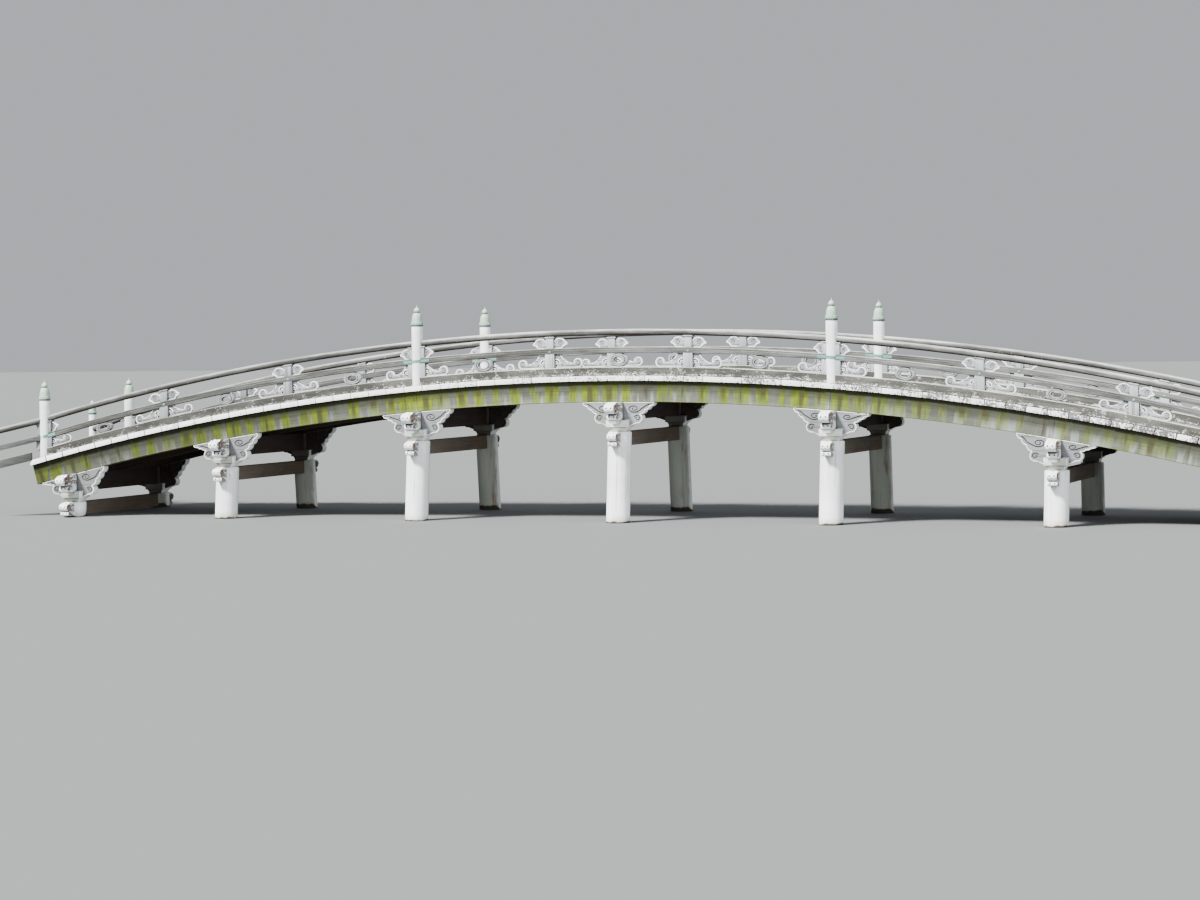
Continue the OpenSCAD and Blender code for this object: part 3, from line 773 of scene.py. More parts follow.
def waterline(colour, place, world, faces):
    """Stains a pile at the water, paints grey shade on its side towards the other row, and lets brown runs
    down its side.
    """
    c, far = colours(), faces["Shade under deck"]
    level = axis(world, "Z") + (cloudy(world, 7.0) * 0.10 - 0.05)
    # The side towards the other row takes a grey painted shade
    colour = mix(far * 0.85, colour, c.far_pile_shade)
    runs = spread(cloudy(world, (9.0, 9.0, 0.9), 4.0, 0.6, 0.5), 0.52, 0.70) * (far * 0.70 + 0.03)
    colour = mix(runs, colour, c.rust)
    colour = mix(spread(level, 0.16, 0.03) * 0.45, colour, c.splash)
    return mix(spread(far * -0.06 + level, 0.045, 0.012), colour, c.slime)


def rusty(colour, place, world, faces):
    """Rust-brown patches on the beams between the rows."""
    patch = cloudy(place, (1.2, 4.0, 4.0), 4.0, 0.6, 0.5)
    return mix(spread(patch, 0.46, 0.62) * 0.7, colour, colours().rust)


def dripping(colour, place, world, faces):
    """Moss and drip stains of the girders' faces, under each joint of the deck."""
    c = colours()
    streaks = use_group("Board streaks", place, Pitch=2 * DECK_END / sizes().boards, Depth=GIRDER_H, Seed=3.0)
    level = streaks["Level"].calc("POWER", 1.35)
    pale = spread(streaks["Broad"], 0.54, 0.38) * spread(level, 0.1, 0.6)
    colour = mix(pale * 0.9, colour, c.lavender)
    # The upper part takes a painted shadow of the deck, dark and green with dirt, and the colour lightens
    # towards the foot
    colour = mix(1.0, colour, mix(level, c.deck_shadow_and_dirt, c.girder_foot), "MULTIPLY")
    # Moss near the top is darkened by the deck's painted shadow, and also in random patches
    lit_and_fresh_moss = spread(level, 0.02, 0.45) * spread(streaks["Fine"], 0.62, 0.44, 0.40, 1.0)
    colour = mix(streaks["Moss"] * 0.95, colour, mix(lit_and_fresh_moss, times(c.moss, 0.22), c.moss))
    return mix(streaks["Drip"] * 0.8, colour, c.stain)


def uneven(colour, place, world, faces):
    """Longer dark and pale stretches along a rail."""
    return dim(colour, spread(cloudy(place, (0.9, 5.0, 5.0), 5.0, 0.62), 0.36, 0.62, 0.62, 1.16))


def splashed(colour, place, world, faces):
    """White crust on a sill's lower part, where rain splashes up from the boards."""
    colour = uneven(colour, place, world, faces)
    amount = spread(axis(place, "Z") - BOARD_T, 0.45 * SILL_H, 0.0, 0.36, 0.62)
    crust = use_group("Flaking wash", stretch(world, (2.2, 2.2, 3.0)), Wash=amount)["Mask"]
    return mix(crust * 0.85, colour, colours().limewash)


def mossy(amount, least=0.58):
    """Thin yellow-green runs on upright faces."""
    def weather(colour, place, world, faces):
        """The runs for one material."""
        runs = cloudy(world, (5.0, 5.0, 0.7), 4.0, 0.6, 0.3)
        return mix(spread(runs, least, least + 0.16) * amount, colour, colours().moss)
    return weather


def copper(name, base, sheltered, shelter=0.35):
    """Verdigris copper: pale where rain washes it, teal and dark where it is sheltered."""
    tree, shader = new_material(name)
    world = put(tree, "TexCoord", "Object")
    faces = use_group("Exposed faces", world, Reach=0.04)
    cloud = cloudy(world, 11.0, 6.0, 0.65)
    cover = cloudy(world, (40.0, 40.0, 3.0), 4.0, 0.6) * 0.6 + cloud * 0.6
    colour = mix(spread(cover, 0.5, 0.74, shelter, 0.0), base, sheltered)
    colour = mix(faces["Under"] * 0.9, colour, sheltered)
    colour = mix(faces["Top"] * 0.4, colour, colours().lichen)
    colour = mix(faces["Corner"] * 0.8, colour, colours().crevice)
    wire(shader, {"Base Color": colour, "Roughness": spread(cloud, 0.3, 0.7, 0.5, 0.8),
                  "Metallic": spread(cover, 0.35, 0.55, 0.5, 0.1), "Normal": relief(cover, 0.3, 0.003)})


def build_materials():
    """Makes every finish once, from the bridge's colours."""
    build_groups()
    c = colours()
    carved = (c.lichen, times(c.panel, 0.6))
    white = (c.bleached, c.limewash, times(c.bleached, 0.88))
    grey_dark, rail_dark = times(c.grey, 0.55), times(c.rail, 0.5)
    timber("Pile timber", *white, top=0.5, under=0.2, lichen=-0.35, corner=0.35, tones=0.06, extra=waterline,
           bump=0.25, minus_x_dim=0.92, split=0.15)
    timber("Post timber", *white, top=0.5, lichen=-0.25, corner=0.5, tones=0.08, extra=mossy(0.30), bump=0.25,
           minus_x_dim=0.85, split=0.15)
    # Tie beams take a brown painted shade between the rows
    timber("Tie timber", c.panel, *carved, under=0.5, lichen=-0.05, corner=0.8, extra=rusty, shelter=0.8,
           sheltered=c.between_rows_shade)
    timber("Beam timber", c.panel, *carved, under=0.75, lichen=-0.05, corner=0.9, extra=rusty, shelter=0.9)
    timber("Block timber", c.block, c.lichen, times(c.block, 0.75), corner=0.7, extra=mossy(0.30, 0.56),
           shelter=0.85)
    timber("Bracket timber", times(c.panel, 0.75), *carved, under=0.75, corner=0.85, extra=mossy(0.30),
           shelter=0.92, minus_x_dim=0.8)
    timber("Panel timber", times(c.panel, 1.45), *carved, top=0.9, lichen=0.0, corner=0.95)
    timber("Strut timber", times(c.panel, 1.5), c.lichen, c.panel, lichen=-0.02, corner=0.9,
           extra=mossy(0.2, 0.56))
    timber("Girder timber", c.grey, c.grey, grey_dark, top=0.2, under=0.85, lichen=-0.4, corner=0.45,
           extra=dripping, shelter=0.95, split=0.2, minus_x_dim=0.45)
    timber("Deck timber", c.grey, c.panel, grey_dark, top=0.45, under=0.9, lichen=-0.12, corner=0.7,
           extra=mossy(0.25))
    timber("Sill timber", c.rail, c.lichen, rail_dark, top=0.75, under=0.2, lichen=0.0, extra=splashed)
    timber("Rail timber", times(c.grey, 0.95), c.lichen, rail_dark, top=0.5, under=0.8, lichen=0.06,
           corner=0.7, extra=uneven)
    timber("Pole timber", c.grey, c.lichen, rail_dark, top=0.66, under=0.9, lichen=0.08, corner=0.7,
           extra=uneven)
    copper("Cap copper", c.verdigris, c.patina)
    copper("Strap copper", c.patina, times(c.patina, 0.6), 0.6)
    copper("Collar copper", times(c.patina, 0.45), times(c.patina, 0.15), 0.8)


# Pieces

SPLIT_W, SPLIT_DEPTH = 0.004, 0.012


def leaning_pile(top, radius, rng, side, batter):
    """A round pile with an eased head, slightly out of round, and a few drying splits."""
    bm = fresh()
    segments, level_h, eased = 48, 0.09, 0.03
    levels = max(3, round(top / level_h))
    made = bmesh.ops.create_circle(bm, cap_ends=True, segments=segments, radius=radius)
    face = made["verts"][0].link_faces[0]
    for _ in range(levels):
        face = push(bm, face, (0, 0, (top - eased) / levels))
    for rise, shrink in ((0.016, 0.985), (0.014, 0.95)):
        face = push(bm, face, (0, 0, rise), shrink)
    bmesh.ops.recalc_face_normals(bm, faces=bm.faces)
    seed = rng.uniform(0, 50)
    for vert in bm.verts:
        wobble = noise.noise(Vector((vert.co.x * 5, vert.co.y * 5, vert.co.z * 0.8 + seed)))
        vert.co.xy *= 1 + 0.008 * wobble

    def off_line(vert, angle):
        """How far round the pile a vertex lies from an upright line."""
        return abs(math.remainder(math.atan2(vert.co.y, vert.co.x) - angle, math.tau))

    for _ in range(3):
        angle = math.tau * rng.randrange(segments) / segments
        low, high = sorted((rng.uniform(0, top), rng.uniform(0.2 * top, top)))
        column = [e for e in bm.edges if abs(e.verts[0].co.z - e.verts[1].co.z) > 0.03
                  and off_line(e.verts[0], angle) < 0.01
                  and low < (e.verts[0].co.z + e.verts[1].co.z) / 2 < high]
        if not column:
            continue
        for vert in bevel(bm, column, SPLIT_W)["verts"]:
            if off_line(vert, angle) < 0.004:
                vert.co.xy *= 1 - SPLIT_DEPTH / radius
    set_grain(bm, "z", (seed, 0, 0))
    for vert in bm.verts:
        vert.co.y += side * batter * (top - vert.co.z)
    return bm


class MOONBRIDGE_OT_piles(bpy.types.Operator):
    """Builds the leaning round piles"""
    bl_idname = "moonbridge.piles"
    bl_label = "Piles"

    def execute(self, context):
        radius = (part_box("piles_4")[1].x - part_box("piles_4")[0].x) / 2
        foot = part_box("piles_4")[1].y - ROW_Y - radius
        batter = foot / PILE_TOPS[3]
        for i, (x, top) in enumerate(zip(BENTS, PILE_TOPS), 1):
            piece = Piece(f"leaning_piles_{i}", 20 + i)
            for side in (-1, 1):
                pile = leaning_pile(top, radius * 0.998, piece.random, side, batter)
                piece.add(pile, at(x, side * ROW_Y, 0))
            piece.finish("Pile timber", "pile_timber", f"piles_{i}")
        return {"FINISHED"}


# Share of a carved head's depth that lies over its mouth, and how far its jaw stands back
MOUTH = 0.66
TIE_JAW, CAP_JAW = 0.058, 0.151


def head_parts(depth):
    """Half the depth of a carved head's upper part and of its jaw."""
    return depth * MOUTH / 2, depth * (1 - MOUTH) / 2


def nosing_outline(reach, depth, jaw):
    """Side of a carved beam end from the row's centreline: upper lip, mouth, and a shorter lower lip."""
    lip, chin = head_parts(depth)
    points = [(jaw - 3 * chin, -depth)]
    points += arc_points(jaw - chin, -depth + chin, chin, -90, 75, 7)
    points += [(jaw - 1.3 * chin, -2.06 * lip), (jaw - 1.5 * chin, -1.98 * lip)]
    points += arc_points(reach - 1.05 * lip, -1.2 * lip, 0.75 * lip, -115, -40, 3)
    points += arc_points(reach - 0.62 * lip, -0.98 * lip, 0.62 * lip, -50, 70, 6)
    points += arc_points(reach - 1.7 * lip, -0.9 * lip, 0.86 * lip, 52, 95, 4)
    return points + [(reach - 2.6 * lip, 0.0)]


def beam_outline(reach, depth, jaw):
    """Whole side of a beam that crosses the bridge, carved at both ends."""
    end = [(ROW_Y + x, y) for x, y in nosing_outline(reach, depth, jaw)]
    return end + [(-x, y) for x, y in reversed(end)]


def moved(points, x, y):
    """A line of points, shifted."""
    return [(u + x, v + y) for u, v in points]


def head_grooves(reach, depth, jaw):
    """Carved lines in the side of a beam's end: the snout's whorl, the brow over it and the jaw's curl."""
    lip, chin = head_parts(depth)
    snout = moved(whorl(0.62 * lip, 1.45, 200, 1, 0.2), reach - 1.20 * lip, -1.00 * lip)
    brow = arc_points(reach - 2.60 * lip, -1.10 * lip, 0.62 * lip, 60, 300, 16)
    cheek = moved(whorl(0.62 * chin, 1.2, 180, -1, 0.3), jaw - 1.15 * chin, 1.02 * chin - depth)
    return [ribbon(snout, 0.23 * lip, 0.14 * lip), ribbon(brow, 0.26 * lip, 0.16 * lip),
            ribbon(cheek, 0.30 * chin, 0.20 * chin)]


def carve_end(piece, place, thickness, reach, depth, jaw):
    """Lobes and eyes on the front of a beam's end. place takes X outwards, Y up and Z across the beam."""
    lip, chin = head_parts(depth)
    for side in (-1, 1):
        # Size, end and top of the part it sits on, half-sizes, place in and down, and if it is an eye
        for part, end, top, radii, inwards, down, eye in (
                (lip, reach, 0, (0.50, 0.42, 0.22), 0.62, 0.55, False),
                (lip, reach, 0, (0.40, 0.40, 0.20), 0.42, 1.22, False),
                (lip, reach, 0, (0.24, 0.22, 0.12), 0.16, 0.92, True),
                (lip, reach, 0, (0.52, 0.24, 0.16), 1.9, 0.20, False),
                (chin, jaw, -depth, (0.55, 0.66, 0.20), 0.55, -1.05, False),
                (chin, jaw, -depth, (0.24, 0.30, 0.09), 0.08, -1.15, True)):
            boss = lump((radii[0] * part, radii[1] * part, radii[2] * thickness))
            spot = place @ at(end - inwards * part, top - down * part, side * thickness * 0.25)
            # An eye is a boss painted dark, as the painted shade of a drilled hole
            piece.add(boss, spot, tone=SHADE_AND_DIRT if eye else None, wash=0.0 if eye else 1.0)


class MOONBRIDGE_OT_beams(bpy.types.Operator):
    """Builds the tie beams and the cap beams with their carved ends"""
    bl_idname = "moonbridge.beams"
    bl_label = "Tie and cap beams"

    def execute(self, context):
        kinds = (
            ("tie_beam", "Tie timber", TIE_W, TIE_END, TIE_H, TIE_END - TIE_JAW, PILE_TOPS),
            ("cap_beam", "Beam timber", CAP_W, CAP_END, BRACKET_H, CAP_END - CAP_JAW,
             [girder_low(x) for x in BENTS]),
        )
        for node, finish, thickness, reach, depth, jaw, tops in kinds:
            for i, (x, top) in enumerate(zip(BENTS, tops), 1):
                piece = Piece(f"carved_{node}_{i}", 40 + i)
                lines = head_grooves(reach, depth, jaw)
                grooves = [[(side * (ROW_Y + u), v) for u, v in line] for line in lines for side in (-1, 1)]
                beam = plate([beam_outline(reach, depth, jaw)], thickness, sizes().arris * 1.3,
                             grooves=grooves)
                head = ROW_Y + BRACKET_T / 2 + 0.02
                for side in (-1, 1):
                    bmesh.ops.bisect_plane(beam, geom=[*beam.verts, *beam.edges, *beam.faces],
                                           plane_co=(side * head, 0, 0), plane_no=(1, 0, 0))
                # White wash lies on the ends' fronts and tops, and thinner on their sides
                ends = [f for f in beam.faces if abs(f.calc_center_median().x) > head]
                wash_faces(beam, lambda f: f in ends and abs(f.normal.x) > 0.35, 0.95)
                wash_faces(beam, lambda f: f in ends and f.normal.y > 0.4, 0.9)
                wash_faces(beam, lambda f: f in ends and abs(f.normal.z) > 0.9, 0.58)
                if node == "cap_beam":
                    # A cap beam's top leans with the girders that lie on it
                    lean = math.tan(DECK.slope(x))
                    for vert in beam.verts:
                        if vert.co.y > -0.01:
                            vert.co.y += vert.co.z * lean
                across = at(x, 0, top) @ turn(math.pi / 2, "Z") @ UPRIGHT
                piece.add(beam, across)
                for side in (1, -1):
                    place = across @ mirror(side) @ at(ROW_Y, 0)
                    carve_end(piece, place, thickness, reach, depth, jaw)
                piece.finish(finish, "beam_timber", f"{node}_{i}")
        return {"FINISHED"}


def bearing_block(width, top, foot_w, foot_h, arris):
    """A square block over a tapered and hollowed foot, standing on z 0."""
    bm = fresh()
    bmesh.ops.create_grid(bm, x_segments=1, y_segments=1, size=foot_w / 2)
    face = bm.faces[:][0]
    steps = 6
    reach, flare = foot_w / 2, 0.45 * (width - foot_w) / 2
    for i in range(1, steps + 1):
        wanted = foot_w / 2 + flare * (1 - math.cos(math.pi / 2 * i / steps))
        face = push(bm, face, (0, 0, foot_h / steps), wanted / reach)
        reach = wanted
    face = push(bm, face, (0, 0, 0), width / 2 / reach)
    push(bm, face, (0, 0, top - foot_h))
    bmesh.ops.recalc_face_normals(bm, faces=bm.faces)
    bevel(bm, sharp_edges(bm, 1.0), arris)
    return set_grain(bm)


class MOONBRIDGE_OT_blocks(bpy.types.Operator):
    """Builds the bearing blocks and the small nose under each carved head"""
    bl_idname = "moonbridge.blocks"
    bl_label = "Bearing blocks"

    def execute(self, context):
        foot_w, foot_h = 0.29, 0.08
        nose_w, nose_out, nose_h, nose_cut, sunk = 0.15, 0.24, 0.062, 0.03, 0.02
        for row, side in ROWS.items():
            piece = Piece(f"hollow_footed_blocks_{row}", 60)
            for x, top in zip(BENTS, PILE_TOPS):
                block = bearing_block(BLOCK_W, BLOCK_TOP, foot_w, foot_h, sizes().arris)
                wash_faces(block, lambda f: abs(f.normal.x) > 0.6, 0.9)
                piece.add(block, at(x, side * ROW_Y, top))
                nose = bar((-nose_w / 2, 0, -nose_h), (nose_w / 2, nose_out, -0.002), sizes().arris)
                # The nose's lower front edge is cut back
                for vert in nose.verts:
                    if vert.co.y > nose_out - 0.04 and vert.co.z < 0.022 - nose_h:
                        vert.co.y -= nose_cut
                set_grain(nose, "y")
                wash_faces(nose, lambda f: f.normal.y > 0.3 or f.normal.z > 0.5)
                outwards = turn(0 if side > 0 else math.pi, "Z")
                piece.add(nose, at(x, side * (ROW_Y + BLOCK_W / 2 - sunk), top + BLOCK_TOP) @ outwards)
            piece.finish("Block timber", "bracket_timber", f"{row}_bearing_blocks")
        return {"FINISHED"}


# The round lobe beside the block, in a bracket's own plane, and the point where its scalloped edge starts
LOBE = Vector((BLOCK_W / 2 + 0.165, 0.036))
LOBE_R = 0.095
SCALLOPS = LOBE + LOBE_R * Vector((0.68, 0.84))
ROOT_DROP = 0.1105


def bracket_foot(x):
    """Height of the foot of the bracket on one bent."""
    return PILE_TOPS[BENTS.index(x)] + BLOCK_TOP


def bracket_half(x, side):
    """Lower edge of one side of a cloud bracket, from the block out to the tip, as if it pointed to +X."""
    root = BLOCK_W / 2 + 0.002
    points = [(root, 0.0), (root, -ROOT_DROP)] + arc_points(*LOBE, LOBE_R, -100, 48, 12)
    tip = Vector((BRACKET_REACH, girder_low(x + side * BRACKET_REACH) - bracket_foot(x) - 0.012))
    edge = tip - SCALLOPS
    pitch = edge.length / 3
    inwards = 0.56 * pitch * Vector((-edge.y, edge.x)).normalized()
    heading = math.degrees(math.atan2(edge.y, edge.x)) - 90
    for i in range(3):
        middle = SCALLOPS + edge * (i + 0.5) / 3 + inwards
        points += [(min(u, BRACKET_REACH), v) for u, v in
                   arc_points(*middle, 0.75 * pitch, heading - 40, heading + 40, 7)]
    return points + [(BRACKET_REACH, tip.y + 0.012)]


def bracket_grooves(x, side):
    """Carved lines of one side of a cloud bracket: a scroll that starts at the tip, and the lobe's curl."""
    z = bracket_foot(x)
    tip_h = girder_low(x + side * BRACKET_REACH) - z
    low = tip_h < 0.30
    radius, squash, drop = (0.092, 0.52, 0.092) if low else (0.116, 0.60, 0.120)
    eye = Vector((0.30, girder_low(x + side * 0.30) - z - drop))
    edge = Vector((BRACKET_REACH, tip_h)) - SCALLOPS
    scroll = [Vector(p) + eye for p in whorl(radius, 1.35 if low else 1.6, -38, -1, 0.18, squash, 40)]
    lead = []
    for t in (0.86, 0.66, 0.46, 0.26):
        point = SCALLOPS + edge * t
        room = girder_low(x + side * point.x) - z - point.y
        if room > 0.07 and point.x > scroll[0].x + 0.03:
            lead.append(point + Vector((0, min(0.07, 0.5 * room))))
    curl = [Vector(p) + LOBE + Vector((0.0, 0.002)) for p in whorl(0.060, 1.25, 165, -1, 0.28, 0.92, 26)]
    return [ribbon(lead + scroll, 0.024, 0.015), ribbon(curl, 0.022, 0.014)]


def bracket_outline(x):
    """Whole outline of a cloud bracket about its bent, its top cut to the girder."""
    right = bracket_half(x, 1)
    left = [(-u, v) for u, v in reversed(bracket_half(x, -1))]
    tops = [BRACKET_REACH * (1 - i / 5) for i in range(1, 10)]
    return right + [(u, girder_low(x + u) - bracket_foot(x)) for u in tops] + left


class MOONBRIDGE_OT_brackets(bpy.types.Operator):
    """Builds the cloud brackets under the outer girders"""
    bl_idname = "moonbridge.brackets"
    bl_label = "Cloud brackets"

    def execute(self, context):
        s = sizes()
        for row, side in ROWS.items():
            piece = Piece(f"cloud_brackets_{row}", 80)
            for x in BENTS:
                left = [[(-u, v) for u, v in line] for line in bracket_grooves(x, -1)]
                body = plate([bracket_outline(x)], BRACKET_T, 0.005, s.rim * 0.55, s.recess * 0.7, 0.8,
                             bracket_grooves(x, 1) + left)
                wash_faces(body, lambda f: abs(f.normal.z) < 0.6 and f.normal.y < 0.75
                           and abs(f.calc_center_median().x) > BLOCK_W / 2 + 0.01, 0.97)
                piece.add(body, standing(x, side * ROW_Y, bracket_foot(x)))
            piece.finish("Bracket timber", "bracket_timber", f"{row}_cloud_brackets")
        return {"FINISHED"}


class MOONBRIDGE_OT_girders(bpy.types.Operator):
    """Builds the three arched girders in lengths that butt over the bents"""
    bl_idname = "moonbridge.girders"
    bl_label = "Girders"

    def execute(self, context):
        joint, end_trim = 0.006, 0.012
        cuts = [-DECK_END, *BENTS[1:6], DECK_END]
        outline = section(GIRDER_W, -GIRDER_H, 0.0, sizes().arris, (-0.46 * GIRDER_H, 0.0035))
        girders = (("front_girder", -ROW_Y), ("middle_girder", 0.0), ("back_girder", ROW_Y))
        for seed, (node, y) in enumerate(girders, 93):
            piece = Piece(f"arched_{node}", seed)
            for x0, x1 in zip(cuts, cuts[1:]):
                x0 += end_trim if x0 == cuts[0] else joint / 2
                x1 -= end_trim if x1 == cuts[-1] else joint / 2
                piece.add(along_arc(DECK, outline, x0, x1, 0.25), at(0, y))
            piece.finish("Girder timber", "girder_timber", node)
        return {"FINISHED"}


class MOONBRIDGE_OT_deck(bpy.types.Operator):
    """Lays the deck boards across the girders"""
    bl_idname = "moonbridge.deck"
    bl_label = "Deck boards"

    def execute(self, context):
        s = sizes()
        piece = Piece("deck_boards", 7)
        rng = piece.random
        pitch = 2 * DECK_END / s.boards
        for i in range(s.boards):
            x = -DECK_END + pitch * (i + 0.5)
            half = pitch / 2 - s.board_gap * rng.uniform(0.3, 0.7)
            reach = DECK_HALF - rng.uniform(0.0, 0.012)
            other = DECK_HALF - rng.uniform(0.0, 0.012)
            board = bar((-half, -reach, 0), (half, other, BOARD_T - rng.uniform(0.0, 0.003)), 0.006)
            bmesh.ops.subdivide_edges(board, edges=[e for e in board.edges if e.calc_length() > 3], cuts=8)
            cup, seed = rng.uniform(-0.002, 0.004), rng.uniform(0, 90)
            # Each board cups across its width, and its upper face is worn uneven
            for vert in board.verts:
                if vert.co.z > BOARD_T / 2:
                    vert.co.z -= cup * (1 - (vert.co.x / half) ** 2)
                    vert.co.z += 0.002 * noise.noise(Vector((vert.co.x * 3, vert.co.y * 2, seed)))
            set_grain(board, "y", (seed, seed, 0))
            # The wash on the boards' ends wears away towards +X
            wash_faces(board, lambda f: abs(f.normal.y) > 0.35, rng.uniform(0.67, 0.86) - 0.02 * x)
            tilt = turn(-DECK.slope(x), "Y")
            piece.add(board, at(x, 0, DECK.z(x)) @ tilt)
        piece.finish("Deck timber", "deck_timber", "deck")
        return {"FINISHED"}


class MOONBRIDGE_OT_rails(bpy.types.Operator):
    """Builds the ground sills, mid rails and round handrails"""
    bl_idname = "moonbridge.rails"
    bl_label = "Sills and rails"

    def execute(self, context):
        s = sizes()
        mid = section(MID_W, MID_LIFT - s.mid_rail_h, MID_LIFT, s.arris,
                      (MID_LIFT - s.mid_rail_h * 0.36, 0.004))
        sill = section(SILL_W, BOARD_T, BOARD_T + SILL_H, s.arris * 1.4)
        sunk, loss = 0.06, 0.012
        circle = moved(oval(HANDRAIL_D, HANDRAIL_D, 20), 0, HANDRAIL_D / 2)
        stretches = [(x0 + sunk, x1 - sunk) for x0, x1 in zip(POSTS, POSTS[1:])]
        for row, side in ROWS.items():
            place = at(0, side * ROW_Y)
            for node, arc, outline, finish in (("ground_sill", DECK, sill, "Sill timber"),
                                               ("mid_rail", RAIL, mid, "Rail timber")):
                piece = Piece(f"{row}_{node}_timbers", 110 + side)
                for x0, x1 in stretches:
                    start = (piece.random.uniform(0, 40), 0, 0)
                    piece.add(along_arc(arc, outline, x0, x1, 0.25, start), place)
                piece.finish(finish, "rail_timber", f"{row}_{node}")
            piece = Piece(f"{row}_handrail_poles", 120 + side)
            for x0, x1 in stretches:
                start = (piece.random.uniform(0, 40), 0, 0)
                pole = along_arc(RAIL, circle, x0, x1, 0.12, start)
                for vert in pole.verts:
                    x, y, z = vert.co
                    middle = RAIL.z(x, HANDRAIL_D / 2)
                    wear = 0.02 * noise.noise(Vector((x * 1.3, y * 8, (z - middle) * 8)))
                    vert.co = (x, y * (1 - loss + wear), middle + (z - middle) * (1 - loss + wear))
                piece.add(pole, place)
            piece.finish("Pole timber", "rail_timber", f"{row}_handrail", smooth=50)
        return {"FINISHED"}


def strut_widths(x):
    """Width of a strut below and over the mid rail."""
    s = sizes()
    wide = s.flank_w if x in POSTS else s.strut_w
    return wide, wide - s.strut_w + s.strut_top_w


class MOONBRIDGE_OT_struts(bpy.types.Operator):
    """Builds the struts between the rails, with their cap blocks"""
    bl_idname = "moonbridge.struts"
    bl_label = "Struts"

    def execute(self, context):
        s = sizes()
        cap_h, lip, set_back, into_rail = 0.038, 0.012, 0.008, 0.004
        for row, side in ROWS.items():
            piece = Piece(f"{row}_rail_struts", 140 + side)
            y0, y1 = side * ROW_Y - STRUT_T / 2, side * ROW_Y + STRUT_T / 2
            for x in STATIONS:
                wide, head = strut_widths(x)
                tone = piece.random.random()
                foot = between(x - wide / 2, x + wide / 2, y0, y1, sill_top,
                               lambda u: mid_low(u) + into_rail, s.arris)
                piece.add(set_grain(foot, "z", (x, 0, 0)), tone=tone)
                upper = between(x - head / 2, x + head / 2, y0 + set_back, y1 - set_back,
                                lambda u: mid_top(u) - into_rail, lambda u: RAIL.z(u, 0.002 - cap_h),
                                s.arris * 0.8)
                piece.add(set_grain(upper, "z", (x, 2, 0)), tone=tone)
                # The cap block has a narrow lower step and an upper one that stands out by its lip
                for low, high, grow in ((-cap_h, -cap_h * 0.42, 0.0), (-cap_h * 0.46, into_rail, lip)):
                    half = wide / 2 - lip + grow
                    block = between(x - half, x + half, y0 + lip - grow, y1 - lip + grow,
                                    lambda u: RAIL.z(u, low), lambda u: RAIL.z(u, high), 0.004)
                    piece.add(set_grain(block, "x", (x, 1, 0)), tone=tone)
            piece.finish("Strut timber", "panel_timber", f"{row}_struts")
        return {"FINISHED"}


def cloud_panel_loops(strut_w, height, reach, volute):
    """Outline and pierced holes of a cloud panel that runs to +X from the middle of its strut."""
    root = strut_w / 2 - 0.01
    neck = reach - 2 * volute
    sweep = 0.25
    lift = 0.95 * volute
    points = [(root, 0.0)] + arc_points(reach - volute, lift, volute, -78, 178, 16)
    top = -90 - math.degrees(math.acos((lift + sweep - height) / sweep))
    points += arc_points(neck, lift + sweep, sweep, -92, top, 10) + [(root, height)]
    eye = (strut_w / 2 + 0.030, 0.088)
    crescent = arc_points(*eye, 0.066, 5, 112, 9)
    crescent += arc_points(eye[0] - 0.004, eye[1] - 0.012, 0.050, 100, 8, 8)
    drop = arc_points(strut_w / 2 + 0.034, 0.050, 0.017, -150, 100, 8) + [(strut_w / 2 + 0.012, 0.075)]
    return [points, crescent, drop]


def scroll_loop(strut_w, reach, height):
    """Outline of the scroll that leans out from a strut over the mid rail."""
    root = strut_w / 2 - 0.01
    arch = 0.56 * height
    peak = 0.56 * reach
    points = [(root, -0.004), (0.70 * reach, -0.004), (0.76 * reach, 0.10 * height),
              (0.86 * reach, 0.30 * height)]
    points += arc_points(reach - 0.022, 0.46 * height, 0.022, -80, 60, 5)
    points += arc_points(peak + 0.01, height - arch, arch, 22, 90, 6)
    points += arc_points(peak - 0.012, height - 0.9 * arch, 0.9 * arch, 92, 138, 5)
    points += [(root, 0.64 * height)]
    return [points]


def panel_grooves(strut_w, reach, volute):
    """Carved lines of a cloud panel: the volute's whorl, a small whorl at its root, a wave between."""
    curl = moved(whorl(volute * 0.56, 1.5, 120, -1, 0.2), reach - volute, 0.95 * volute)
    small = moved(whorl(0.026, 1.2, 150, 1, 0.3, steps=14), strut_w / 2 + 0.156, 0.060)
    wave = [(strut_w / 2 + 0.210 + t * 0.012, 0.043 + 0.004 * math.sin(t * 1.2)) for t in range(16)]
    wave = [p for p in wave if p[0] < reach - 2 * volute]
    return [ribbon(curl, 0.013, 0.009), ribbon(small, 0.010, 0.008), ribbon(wave, 0.010, 0.007)]


def scroll_groove(strut_w, reach, height):
    """The carved curl of a scroll, smaller beside the wide struts that flank a post."""
    radius, out, up = (0.048, 0.62, 0.50) if strut_w < 0.3 else (0.032, 0.66, 0.47)
    return ribbon(moved(whorl(radius, 1.45, 60, 1, 0.2), out * reach, up * height), 0.012, 0.008)


def along_chord(x, y, height, run, lift=0.0):
    """Stands a carved plate up at x, with its foot along a rail that height(x) gives, run out to one side."""
    far = x + run / 2
    slope = math.atan((height(far) - height(x)) / (far - x))
    return at(x, y, height(x) + lift) @ turn(-slope, "Y") @ UPRIGHT @ mirror(math.copysign(1, run))


